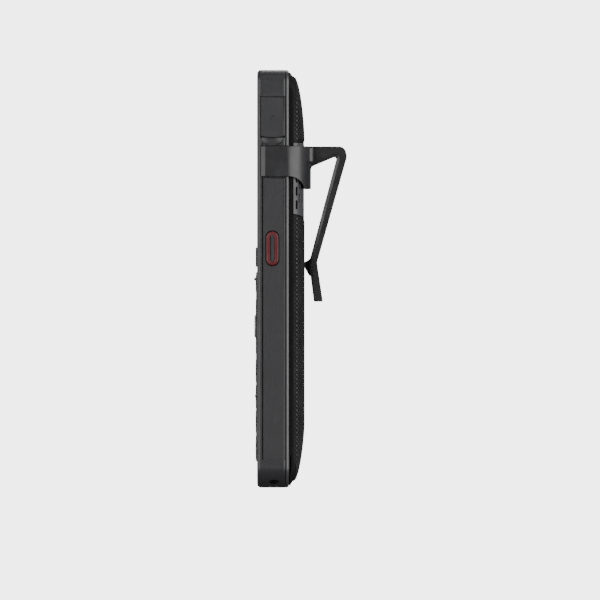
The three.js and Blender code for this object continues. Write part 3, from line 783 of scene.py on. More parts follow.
def lettering(name: str, text: str, centre: Sequence[float], height: float, face: float) -> bpy.types.Object:
    """Sets a digit or sign as a thin print on a face that looks along -Y.

    The sign is drawn flat in X and Y, stood up about X, and moved until its middle is on the centre.

    Args:
        name: the object's name.
        text: the sign.
        centre: the middle in X and Z.
        height: the height of a capital.
        face: the face's level.

    Returns:
        The object.
    """
    curve = bpy.data.curves.new(name, "FONT")
    curve.body = text
    curve.size = height / 0.7 * MM
    curve.extrude = 0.06 * MM
    curve.resolution_u = 4
    draft = bpy.data.objects.new(name, curve)
    bpy.context.scene.collection.objects.link(draft)
    bpy.context.view_layer.update()
    mesh = bpy.data.meshes.new_from_object(draft.evaluated_get(bpy.context.evaluated_depsgraph_get()))
    bpy.data.objects.remove(draft)
    flat = np.empty(len(mesh.vertices) * 3)
    mesh.vertices.foreach_get("co", flat)
    flat = flat.reshape(-1, 3)
    middle = (flat.min(0) + flat.max(0)) / 2
    standing = np.stack([
        flat[:, 0] - middle[0] + centre[0] * MM,
        face * MM + 0.04 * MM - (flat[:, 2] - middle[2]),
        flat[:, 1] - middle[1] + centre[1] * MM], 1)
    mesh.vertices.foreach_set("co", standing.ravel())
    mesh.update()
    piece = bpy.data.objects.new(name, mesh)
    bpy.context.scene.collection.objects.link(piece)
    return piece


# ---------------------------------------------------------------- the keys
@dataclass
class Keypad:
    """The keys, the plate round them and their prints."""

    clearance: float = 0.25
    lap: float = 0.5
    corner: float = 2.0
    pillow: float = 0.05
    rim: float = 0.18
    nav_inner: float = 4.7
    nav_outer: float = 10.4
    bite: float = 11.8
    side_key_from: float = 8.2
    flange_from: float = 13.2
    ridge_height: float = 74.9
    nib_height: float = 32.8
    digits: tuple[str, ...] = ("1", "2", "3", "4", "5", "6", "7", "8", "9", "star", "0", "hash")

    def __post_init__(self) -> None:
        """Reads the places of the keys off the frame."""
        low, high = extent("nav_ring")
        self.nav_centre = (float(low[0] + high[0]) / 2, float(low[2] + high[2]) / 2)
        self.key_face = float(extent("key_1")[0][1])
        self.plate_low, self.plate_high = extent("keypad_panel")

    def cap_outline(self, node: str, grow: float = 0.0) -> Points:
        """Draws the outline of a key with four sides.

        Args:
            node: the key's CAD node, whose flange is wider than its cap.
            grow: how much wider than the cap.

        Returns:
            The outline in X and Z.
        """
        low, high = extent(node)
        inset = np.array([self.lap - grow, -grow])
        corner = min(self.corner, (high[2] - low[2]) * 0.26)
        return round_rect(low[[0, 2]] + inset, high[[0, 2]] - inset, corner + grow, 6)

    def side_outline(self, node: str, grow: float = 0.0) -> Points:
        """Draws the outline of the key on either side of the ring: a rectangle with a round bite.

        Args:
            node: the key's CAD node.
            grow: how much wider than the cap.

        Returns:
            The outline in X and Z.
        """
        low, high = extent(node)
        outer = high[0] - self.lap + grow if low[0] > 0 else self.lap - low[0] + grow
        inner, radius = self.side_key_from - grow, self.bite - grow
        bottom, top = low[2] - grow, high[2] + grow
        reach = math.asin(math.sqrt(radius ** 2 - inner ** 2) / radius)
        turn = np.linspace(reach, -reach, 17)
        arc = self.nav_centre[1] + radius * np.sin(turn), radius * np.cos(turn)
        corners = [(inner, bottom, 0.2), (outer, bottom, 2.0), (outer, top, 2.0), (inner, top, 0.2)]
        bite = [(x, z, 0.3 if i in (0, 16) else 0.0) for i, (z, x) in enumerate(zip(*arc))]
        outline = fillet(corners + bite)
        return outline if low[0] > 0 else (outline * (-1, 1))[::-1]

    def holes(self, level: float, face: float) -> list[bpy.types.Object]:
        """Makes the cutters of all the key holes in the plate.

        Args:
            level: how deep they go.
            face: the plate's face.

        Returns:
            The cutters.
        """
        grow = self.clearance
        nodes = [f"key_{name}" for name in self.digits] + [f"shortcut_key_{side}" for side in SIDES]
        loops = [self.cap_outline(node, grow) for node in nodes]
        loops += [self.side_outline(node, grow) for node in ("call_key", "end_key")]
        loops.append(circle(self.nav_centre, self.nav_outer + 0.3, 72))
        return [flared(loop, level, face) for loop in loops]

    def cap(self, node: str, outline: Points) -> bpy.types.Object:
        """Makes a key cap: straight sides, a quarter-round rim, and a top that falls with the square of s.

        s runs from 0 at the middle to 1 at the rim, along outlines scaled about the middle.

        Args:
            node: the key's CAD node, which gives its depth and its flange.
            outline: the cap's outline.

        Returns:
            The cap, joined to its flange.
        """
        low, high = extent(node)
        flange_front = high[1] - 0.4
        top = self.key_face
        edge = rounded(top + self.pillow, high[1] - 0.2, self.rim, 0.0, 4)
        loops = [offset(outline, -inset) for inset, _ in edge]
        rows = [lift(loop, y, Plane.XZ) for loop, (_, y) in zip(loops, edge)]
        middle = (loops[0].min(0) + loops[0].max(0)) / 2
        scale = np.linspace(0, 1, 7)[:-1]
        crown = [lift(middle + s * (loops[0] - middle), top + self.pillow * s ** 2, Plane.XZ) for s in scale]
        shell = Shell()
        shell.grid(np.stack(crown + rows), wrap_columns=True)
        shell.fill([loops[-1]], edge[-1][1], Plane.XZ)
        cap = shell.solid(node + "_cap")
        if node in ("call_key", "end_key"):
            inner = self.flange_from
            low[0], high[0] = (max(low[0], inner), high[0]) if low[0] > 0 else (low[0], min(high[0], -inner))
        flange = block((low[0], flange_front, low[2] + 1), (high[0], high[1], high[2] - 1))
        return combine(cap, Join.ADD, flange)

    def ridge(self, node: str) -> bpy.types.Object:
        """Makes the raised bar that marks a shortcut key for the fingertip."""
        outline = pill((middle_of(node)[0], self.ridge_height), (3.0, 0.5), 5)
        return slab("ridge", Plane.XZ, outline, rounded(extent(node)[0][1], self.key_face + 0.4, 0.3, 0.0))

    def nib(self, x: float) -> bpy.types.Object:
        """Makes the dome under the middle digit: (0.8 sin a, 0.75 cos a) turned about its own axis."""
        turn = np.linspace(0, np.pi / 2, 6)
        dome = np.stack([0.8 * np.sin(turn), self.key_face + 0.4 - 0.75 * np.cos(turn)], 1)
        dome = np.concatenate([dome, [[0.8, self.key_face + 0.7], [0.0, self.key_face + 0.7]]])
        return revolve("nib", dome, (x, self.nib_height), Plane.XZ, 24)

    def arrows(self) -> bpy.types.Object:
        """Makes the four arrowheads printed on the ring, each turned a quarter from the last."""
        shell = Shell()
        arrow = np.array([[-1.1, 7.2], [1.1, 7.2], [0.0, 8.3]])
        for quarter in range(4):
            cos, sin = math.cos(quarter * math.pi / 2), math.sin(quarter * math.pi / 2)
            turned = arrow @ np.array([[cos, sin], [-sin, cos]]) + self.nav_centre
            shell.carry(turned, (self.key_face - 0.01, self.key_face + 0.2), Plane.XZ)
        return shell.solid("nav_arrows")

    def handset_sign(self, centre: Sequence[float], turn: float) -> Points:
        """Draws a telephone receiver: an arc whose half thickness grows towards both ends.

        Args:
            centre: its middle.
            turn: how far it is turned, in radians.

        Returns:
            The outline.
        """
        sweep = np.linspace(-0.95, 0.95, 25)
        half = 0.33 + 0.42 * (np.abs(sweep) > 0.62)
        outer = np.stack([np.sin(sweep), np.cos(sweep)], 1) * (2.6 + half)[:, None]
        inner = np.stack([np.sin(sweep), np.cos(sweep)], 1) * (2.6 - half)[:, None]
        loop = np.concatenate([outer[::-1], inner]) - (0, 2.1)
        cos, sin = math.cos(turn), math.sin(turn)
        return loop @ np.array([[cos, sin], [-sin, cos]]) + np.array(centre)

    def build(self) -> None:
        """Makes and dresses every key, the plate and the prints."""
        plate = round_rect(self.plate_low[[0, 2]], self.plate_high[[0, 2]], 3.0)
        panel = slab("key_plate", Plane.XZ, plate, rounded(self.plate_low[1], self.plate_high[1], 0.2, 0.0))
        combine(panel, Join.CUT, *self.holes(self.plate_high[1] + 1, self.plate_low[1]))
        set_down(smooth(panel), KEYPAD, "keypad", "keypad_panel")
        signs = {"star": "*", "hash": "#"}
        for name in self.digits:
            node = f"key_{name}"
            cap = self.cap(node, self.cap_outline(node))
            middle = middle_of(node)
            if name == "5":
                combine(cap, Join.ADD, self.nib(middle[0]))
                middle = middle + (0, 0.6)
            set_down(smooth(cap), KEYCAP, "key", node)
            text = lettering(f"print_{name}", signs.get(name, name), middle, 3.4, self.key_face)
            set_down(text, PRINT, "select", body=node)
        for side in SIDES:
            node = f"shortcut_key_{side}"
            cap = combine(self.cap(node, self.cap_outline(node)), Join.ADD, self.ridge(node))
            set_down(smooth(cap), KEYCAP, "key", node)
            node = f"soft_key_{side}"
            set_down(smooth(self.cap(node, self.cap_outline(node))), KEYCAP, "key", node)
            dash = mark(f"print_soft_{side}", pill(middle_of(node), (1.6, 0.28), 4), self.key_face)
            set_down(dash, PRINT, "select", body=node)
        for node, finish, turn in (("call_key", PRINT_GREEN, 2.4), ("end_key", PRINT_RED, 0.0)):
            set_down(smooth(self.cap(node, self.side_outline(node))), KEYCAP, "key", node)
            across = middle_of(node)[0]
            middle = (across + math.copysign(1.2, across), self.nav_centre[1])
            sign = mark(f"print_{node}", self.handset_sign(middle, turn), self.key_face, 0.02, 0.2)
            set_down(sign, finish, "select", body=node)
        self.navigation()

    def navigation(self) -> None:
        """Makes the ring, dished towards the select key, and the select key itself."""
        low, high = extent("nav_ring")
        face, back, flange = self.key_face, high[1], high[0] - self.nav_centre[0]
        section = np.array([
            (self.nav_inner, back - 0.75), (self.nav_inner, face + 0.35), (self.nav_inner + 0.15, face + 0.2),
            (self.nav_inner + 0.4, face + 0.16), (self.nav_outer - 1.2, face), (self.nav_outer - 0.7, face + 0.02),
            (self.nav_outer - 0.25, face + 0.16), (self.nav_outer, face + 0.45), (self.nav_outer, back - 0.4),
            (flange, back - 0.4), (flange, back), (7.5, back), (7.5, back - 0.75)])
        ring = revolve("navigation_ring", section, self.nav_centre, Plane.XZ)
        set_down(smooth(ring), KEYCAP, "key", "nav_ring")
        set_down(self.arrows(), PRINT, "select", body="nav_ring")
        low, high = extent("select_key")
        radius, top, back = (high[0] - low[0]) / 2, low[1], high[1]
        section = np.array([
            (0.0, top + 0.16), (1.2, top + 0.14), (2.4, top + 0.08), (3.2, top + 0.01), (3.55, top),
            (radius - 0.25, top + 0.08), (radius - 0.07, top + 0.22), (radius, top + 0.45),
            (radius, back), (0.0, back)])
        key = revolve("select_cap", section, self.nav_centre, Plane.XZ)
        set_down(smooth(key), LACQUER, "select", "select_key")


# ---------------------------------------------------------------- the enclosure
@dataclass
class Enclosure:
    """Front shell, mid housing, rear frame and the panels let into their sides."""

    bottom_corner: float = 7.2
    top_corner: float = 4.0
    corner_power: float = 1.2
    wall: float = 2.2
    gap: float = 0.3
    clip_floor: float = 25.05
    clip_low: float = 111.6
    clip_high: float = 122.85
    clip_front: float = -4.5
    hairline: float = 0.04
    scoop_top: float = 125.75
    scoop_middle: float = -0.2
    scoop_reach: tuple[float, float, float] = (1.3, 4.1, 3.3)
    eye_inset: float = 4.07
    eye_height: float = 0.47
    eye_depth: float = 0.4
    eye_ring: float = 2.0
    eye_oval: tuple[float, float] = (1.2, 1.8)
    screws: tuple[tuple[float, float], ...] = ((-22.4, 8.0), (22.4, 8.0), (-22.4, 143.4), (22.4, 143.4))

    def __post_init__(self) -> None:
        """Reads the handset's size off the frame."""
        low, high = extent("mid_housing")
        self.half, self.length = float(high[0]), float(high[2])
        self.front, self.back = float(low[1]), float(high[1])

    def outline(self, inset: float = 0.0, steps: int = 14) -> Points:
        """Draws the handset's outline in X and Z, drawn in by an inset.

        A corner is a superellipse: its points are centre + radius (cos^p t, sin^p t).

        Args:
            inset: how far inside the handset's side.
            steps: how many chords make up a corner.

        Returns:
            The outline, anticlockwise.
        """
        bottom, top = max(self.bottom_corner - inset, 0.4), max(self.top_corner - inset, 0.4)
        low, high = np.array([inset - self.half, inset]), np.array([self.half - inset, self.length - inset])
        loop = round_rect(low, high, (bottom, top, top, bottom), steps)
        radius = np.where(loop[:, 1:] < self.length / 2, bottom, top)
        place, core = loop - (low + high) / 2, (high - low) / 2 - radius
        beyond = radius * (np.maximum(np.abs(place) - core, 0) / radius) ** self.corner_power
        return (low + high) / 2 + np.sign(place) * (np.minimum(np.abs(place), core) + beyond)

    def sideways(self, outline: Points, ends: float) -> Points:
        """Says how far each point of an outline looks sideways.

        The share is 1 where the outline's normal is along X and falls with a smooth step to its value at the
        ends, reached where the normal's X part is a half.

        Args:
            outline: the outline in X and Z.
            ends: the share at the top and the bottom.

        Returns:
            A share for each point.
        """
        chord = np.roll(outline, -1, 0) - np.roll(outline, 1, 0)
        across = np.abs(chord[:, 1]) / np.linalg.norm(chord, axis=1)
        step = np.clip((across - 0.5) / 0.45, 0, 1)
        return (ends + (1 - ends) * step ** 2 * (3 - 2 * step))[:, None]

    def seals(self) -> None:
        """Makes the black cord seals between the shells, set back in the grooves of the long sides."""
        rear_low, rear_high = extent("rear_frame")
        foot = float(extent("rear_cover")[0][1])
        spans = ((self.front - self.gap, self.front - self.gap + self.hairline, 0.3),
                 (self.back, float(rear_low[1]), 0.4), (float(rear_high[1]), foot, 1.75))
        shell = Shell()
        for low, high, depth in spans:
            outline = self.outline()
            share = self.sideways(outline, 0.5 if depth > 1 else 0.15)
            outer, inner = offset(outline, -depth * share), self.outline(1.95 if depth < 1 else 2.6)
            levels = (low - 0.02, high + 0.02)
            for loop in (outer, inner):
                shell.carry(loop, levels, Plane.XZ, capped=False)
            for y in levels:
                shell.grid(np.stack([lift(outer, y, Plane.XZ), lift(inner, y, Plane.XZ)]), wrap_columns=True)
        seals = combine(shell.solid("shell_seals"), Join.CUT, *self.clip_slots(), self.door_pocket())
        set_down(seals, BLACK, "black", body="handset")

    def clip_slots(self) -> list[bpy.types.Object]:
        """Makes the cutters of the slots that the clip's arms slide into from the rear."""
        low, high = (self.clip_front, self.clip_low), (8, self.clip_high)
        return side_blocks(self.clip_floor, self.half + 2, low, high)

    def drilled(self, radius: float, low: float, high: float, count: int = 24) -> list[bpy.types.Object]:
        """Makes a round bar at each screw, to drill with or to stand as a post.

        Args:
            radius: the bar's radius.
            low: its lowest Y.
            high: its highest Y.
            count: its number of sides.

        Returns:
            The bars.
        """
        return [prism(Plane.XZ, circle(place, radius, count), low, high) for place in self.screws]

    def seat(self, node: str, face: float) -> bpy.types.Object:
        """Makes the cutter of the recess that a flat piece lies in, a gap wider and deeper than the piece."""
        low, high = extent(node)
        outline = round_rect(low[[0, 2]] - self.gap, high[[0, 2]] + self.gap, 3.2)
        return flared(outline, high[1] + self.gap, face)

    def door_pocket(self) -> bpy.types.Object:
        """Makes the cutter of the pocket that the port cover fills."""
        low, high = extent("port_cover")
        return block((self.half - 1.7, low[1] - 0.15, low[2] - 0.15), (self.half + 2, high[1] + 0.15, high[2] + 0.2))

    def scoop(self, side: int) -> bpy.types.Object:
        """Makes the cutter of the fingernail scoop, half an ellipsoid under the port cover's lower edge.

        The ellipsoid is centre + (a cos u cos v, b sin u cos v, c sin v).

        Args:
            side: 1 for the right side, -1 for the left.

        Returns:
            The cutter.
        """
        turn = np.linspace(0, 2 * np.pi, 48, endpoint=False)
        rise = np.linspace(-np.pi / 2, np.pi / 2, 25)
        u, v = np.meshgrid(turn, rise)
        a, b, c = self.scoop_reach
        points = np.stack([
            side * self.half + a * np.cos(u) * np.cos(v),
            self.scoop_middle + b * np.sin(u) * np.cos(v),
            self.scoop_top + c * np.sin(v)], -1)
        shell = Shell()
        shell.grid(points, wrap_columns=True)
        cutter = shell.solid("tool")
        lid = block((-40, -10, self.scoop_top), (40, 10, 140))
        return combine(cutter, Join.CUT, lid)

    def lanyard_tunnel(self) -> bpy.types.Object:
        """Makes the cutter of the lanyard eye: an oval section carried round a ring in the bottom corner.

        A point is centre + (R + a cos v)(cos u, sin u) in X and Z, and middle + b sin v in Y.

        Returns:
            The cutter.
        """
        turns = (np.linspace(0, 2 * np.pi, count, endpoint=False) for count in (40, 20))
        u, v = np.meshgrid(*turns)
        a, b = self.eye_oval
        ring = self.eye_ring + a * np.cos(v)
        points = np.stack([
            self.half - self.eye_inset + ring * np.cos(u),
            self.eye_depth + b * np.sin(v),
            self.eye_height + ring * np.sin(u)], -1)
        shell = Shell()
        shell.grid(points, wrap_rows=True, wrap_columns=True)
        return shell.solid("tool")

    def front_shell(self, keypad: Keypad) -> None:
        """Makes the front shell, with its bevelled edge, its seats and its holes.

        Args:
            keypad: gives the key holes.
        """
        face, rear = float(extent("front_cover")[0][1]), self.front - self.gap
        turn = np.linspace(0, np.pi / 2, 9)
        bevel = [(1.15 * (1 - math.sin(a)), face + 1.3 * (1 - math.cos(a))) for a in turn]
        bevel += [(0.0, rear - 0.06), (0.06, rear)]
        outline = self.outline()
        shell = slab("front_shell", Plane.XZ, outline, bevel, share=self.sideways(outline, 1.3))
        combine(shell, Join.ADD, *self.drilled(1.8, rear - 0.1, 0.6))
        through = -3.0
        left, right, bottom, top = DISPLAY
        openings = (round_rect((left, bottom), (right, top), 0.3, 3), pill(*EARPIECE, 6),
                    circle((14, EARPIECE[0][1]), 1.2, 24))
        tools = [self.seat("display_window", face), self.seat("keypad_panel", face)]
        tools += [prism(Plane.XZ, opening, AHEAD, through) for opening in openings]
        soft = [keypad.cap_outline(f"soft_key_{side}", keypad.clearance) for side in SIDES]
        tools += [flared(loop, through, face) for loop in soft]
        tools += keypad.holes(through, -7)
        tools += self.drilled(1.0, -3.3, 3)
        combine(shell, Join.CUT, *tools, *self.clip_slots(), self.door_pocket())
        set_down(smooth(shell), HOUSING, "housing", "front_cover")

    def window(self) -> None:
        """Makes the cover glass, with the earpiece slot through it."""
        low, high = extent("display_window")
        outline = round_rect(low[[0, 2]], high[[0, 2]], 3.0, 12)
        slot = pill(*EARPIECE, 8)
        levels = rounded(low[1], high[1], 0.25, 0.05)
        glass = slab("cover_glass", Plane.XZ, outline, levels, [(slot, rounded(low[1], high[1], 0.12, 0.0))])
        set_down(smooth(glass), GLASS, "glass", "display_window")

    def middle(self) -> None:
        """Makes the mid housing: an outer wall, a web, screw posts, and everything cut into its sides."""
        parting = self.front - self.gap + self.hairline
        levels = [(0.05, parting), (0.0, parting + 0.05), (0.0, self.back - 0.6), (0.03, self.back - 0.48),
                  (0.2, self.back - 0.08), (0.28, self.back)]
        outline = self.outline()
        body = slab("mid_shell", Plane.XZ, outline, levels, share=self.sideways(outline, 0.1))
        web_front, web_back = 0.9, 2.1
        cavity = self.outline(self.wall, 8)
        combine(body, Join.CUT, prism(Plane.XZ, cavity, -9, web_front), prism(Plane.XZ, cavity, web_back, 9))
        posts = self.drilled(2.3, web_back - 0.1, self.back - 0.6, 32)
        corner = prism(Plane.XZ, self.outline(0.3, 14), self.front + 0.3, self.back - 0.7)
        combine(corner, Join.KEEP, block((17, -8, -1), (self.half + 1, 8, 5.4)))
        combine(body, Join.ADD, *posts, corner)
        grip_low, grip_high = extent("side_grip_right")
        tools = side_blocks(grip_low[0] - self.gap, self.half + 2,
                            (-6, grip_low[2] - self.hairline), (6, grip_high[2] + 0.4))
        tools += side_blocks(self.half - 0.5, self.half + 2,
                             (-6, self.clip_high - 0.2), (self.front + 0.1, self.clip_high + 1.9))
        tools += self.drilled(1.0, -9, 9)
        low, high = extent("usb_port")
        tools.append(block((14.9, -2.2, low[2] - self.gap), (30, 2.2, high[2] + self.gap)))
        tools.append(prism(Plane.YZ, side_pill("alert_button_ring", self.gap), 20, 30))
        tools.append(prism(Plane.YZ, side_pill("volume_rocker", self.gap), -30, -20))
        tools += [prism(Plane.XY, round_rect((x - 1.5, -1.4), (x + 1.5, 1.4), 0.4, 4), -1, 1.6)
                  for x in (-9, -4.5, 4.5, 9)]
        tools.append(prism(Plane.XY, circle((1, -2.4), 0.5, 16), -1, 6))
        tools += [self.lanyard_tunnel(), self.scoop(1), self.scoop(-1), self.door_pocket()]
        combine(body, Join.CUT, *tools, *self.clip_slots())
        set_down(smooth(body), HOUSING, "housing", "mid_housing")

    def rear_rim(self) -> None:
        """Makes the rear frame, a ring with a 45 degree chamfer that catches the light."""
        low, high = extent("rear_frame")
        front, back = low[1], high[1]
        levels = [(0.12, front), (0.0, front + 0.1), (0.0, back - 0.68), (0.03, back - 0.6),
                  (0.57, back - 0.06), (0.68, back)]
        hole = [(0.0, front), (0.0, back)]
        outline = self.outline()
        share = self.sideways(outline, 0.6)
        ring = slab("rear_rim", Plane.XZ, outline, levels, [(self.outline(5.2, 8), hole)], share)
        tools = self.drilled(1.0, -9, 9) + self.drilled(1.7, 5.1, 9, 32)
        combine(ring, Join.CUT, *tools, *self.clip_slots(), self.door_pocket())
        # The rim's paler finish paints a highlight over the whole ring, chamfer included.
        set_down(smooth(ring), PALER_TRIM_PAINTED_HIGHLIGHT, "housing", "rear_frame")

    def side_panels(self) -> None:
        """Makes the inlaid panels of both sides, each with its button hole."""
        for side, button in (("right", "alert_button_ring"), ("left", "volume_rocker")):
            low, high = extent(f"side_grip_{side}")
            outline = round_rect(low[1:], high[1:], 0.4, 5)
            inner, outer = (low[0], high[0]) if side == "right" else (high[0], low[0])
            step = math.copysign(1.0, outer - inner)
            rim = [(0.0, inner), (0.0, outer - 0.27 * step), (0.05, outer - 0.2 * step),
                   (0.45, outer - 0.03 * step), (0.55, outer)]
            share = np.where(outline[:, 0] > 0, 1.0, 0.35)
            mouth = [(0.0, inner), (0.0, outer - 0.15 * step), (0.05, outer - 0.05 * step), (0.15, outer)]
            share = np.where(outline[:, 1] < low[2] + 0.3, 0.02, share)[:, None]
            hole = side_pill(button, self.gap)
            panel = slab(f"side_panel_{side}", Plane.YZ, outline, rim, [(hole, mouth)], share)
            set_down(smooth(panel), ELASTOMER, "grip", f"side_grip_{side}")

    def build(self, keypad: Keypad) -> None:
        """Makes and dresses the whole enclosure.

        Args:
            keypad: gives the key holes in the front shell.
        """
        self.front_shell(keypad)
        self.window()
        self.middle()
        self.rear_rim()
        self.seals()
        self.side_panels()


# ---------------------------------------------------------------- side controls
@dataclass
class SideControls:
    """The alert button, the volume rocker and the port cover."""

    ring_width: float = 1.42

    def alert_button(self) -> None:
        """Makes the red ring and the grey core inside it."""
        low, high = extent("alert_button_ring")
        levels = rounded(low[0], high[0], 0.05, 0.3, 4)
        hole = side_pill("alert_button_ring", -self.ring_width, 10), rounded(low[0], high[0], 0.0, 0.15)
        ring = slab("alert_ring", Plane.YZ, side_pill("alert_button_ring"), levels, [hole])
        set_down(smooth(ring), ALERT_RED, "alert", "alert_button_ring")
        low, high = extent("alert_button_cap")
        core = side_pill("alert_button_cap", steps=10)
        cap = slab("alert_core", Plane.YZ, core, rounded(low[0], high[0], 0.05, 0.2))
        set_down(smooth(cap), ELASTOMER, "grip", "alert_button_cap")

    def volume(self) -> None:
        """Makes the rocker, with a raised plus above and minus below."""
        low, high = extent("volume_rocker")
        middle = (low + high)[1:] / 2
        levels = [(0.45, low[0] + 0.18), (0.2, low[0] + 0.24), (0.06, low[0] + 0.36), (0.0, low[0] + 0.6),
                  (0.0, high[0])]
        rocker = slab("volume_key", Plane.YZ, side_pill("volume_rocker", steps=14), levels)
        face = low[0]
        bars = [((0.0, 6.5), (0.9, 0.2)), ((0.0, 6.5), (0.2, 0.9)), ((0.0, -6.5), (0.9, 0.2))]
        signs = [prism(Plane.YZ, pill(middle + place, size, 3), face + 0.06, face + 1.0) for place, size in bars]
        combine(rocker, Join.ADD, *signs)
        set_down(smooth(rocker), KEYCAP, "key", "volume_rocker")

    def port_cover(self) -> None:
        """Makes the port cover, whose lower edge bows down, with its plug and a printed sign."""
        low, high = extent("port_cover")
        inner, outer = high[0] - 1.4, high[0]
        bow = np.linspace(low[1] + 0.3, high[1] - 0.3, 13)
        middle = (low[1] + high[1]) / 2
        drop = 0.4 * (1 - ((bow - middle) / (high[1] - middle)) ** 2)
        bottom = [(y, low[2] + 0.4 - d, 0.0) for y, d in zip(bow, drop)]
        corners = [(low[1], low[2] + 0.75, 0.2), *bottom, (high[1], low[2] + 0.75, 0.2),
                   (high[1], high[2], 0.3), (low[1], high[2], 0.3)]
        rim = [(0.1, inner), (0.0, inner + 0.1), (0.0, outer - 0.27), (0.05, outer - 0.2),
               (0.45, outer - 0.03), (0.55, outer)]
        outline = fillet(corners, 4)
        share = np.where(outline[:, 0] > high[1] - 0.35, 1.0, 0.25)[:, None]
        door = slab("port_door", Plane.YZ, outline, rim, share=share)
        plug = slab("plug", Plane.YZ, pill((-0.05, 133.1), (1.1, 3.6), 8), rounded(low[0], inner + 0.3, 0.3, 0.0))
        combine(door, Join.ADD, plug)
        set_down(smooth(door), ELASTOMER, "grip", "port_cover")
        set_down(self.sign(outer), PRINT_DARK, "black", body="port_cover")

    def sign(self, face: float) -> bpy.types.Object:
        """Makes a generic sign for a connector: a bent arrow over two bars.

        The arrow's stem is an arc of constant width between two circles, from 200 to 110 degrees.

        Args:
            face: the level of the port cover's face.

        Returns:
            The sign, a thin print.
        """
        turn = np.radians(np.linspace(200, 110, 15))
        rim = np.stack([np.cos(turn), np.sin(turn)], 1)
        centre = np.array([0.65, 131.9])
        stem = centre + np.concatenate([rim * 1.62, (rim * 1.28)[::-1]])
        head = np.array([(-0.25, 133.1), (0.95, 133.05), (0.3, 134.05)])
        bars = [pill((0.45, z), (half, 0.13), 3) for z, half in ((132.3, 0.65), (131.4, 0.75))]
        shell = Shell()
        for loop in (stem[::-1], head, *bars):
            shell.carry(loop, (face - 0.15, face + 0.012), Plane.YZ)
        return shell.solid("port_sign")

    def boots(self) -> None:
        """Makes the rubber boots that close the button holes from inside."""
        for node, inner, outer in (("alert_button_ring", 23.5, 24.1), ("volume_rocker", -24.1, -23.5)):
            boot = slab(f"{node}_boot", Plane.YZ, side_pill(node, 1.0, 8), rounded(inner, outer, 0.1, 0.1))
            set_down(smooth(boot), BLACK, "black", body="handset")

    def build(self) -> None:
        """Makes and dresses every side control."""
        self.boots()
        self.alert_button()
        self.volume()
        self.port_cover()


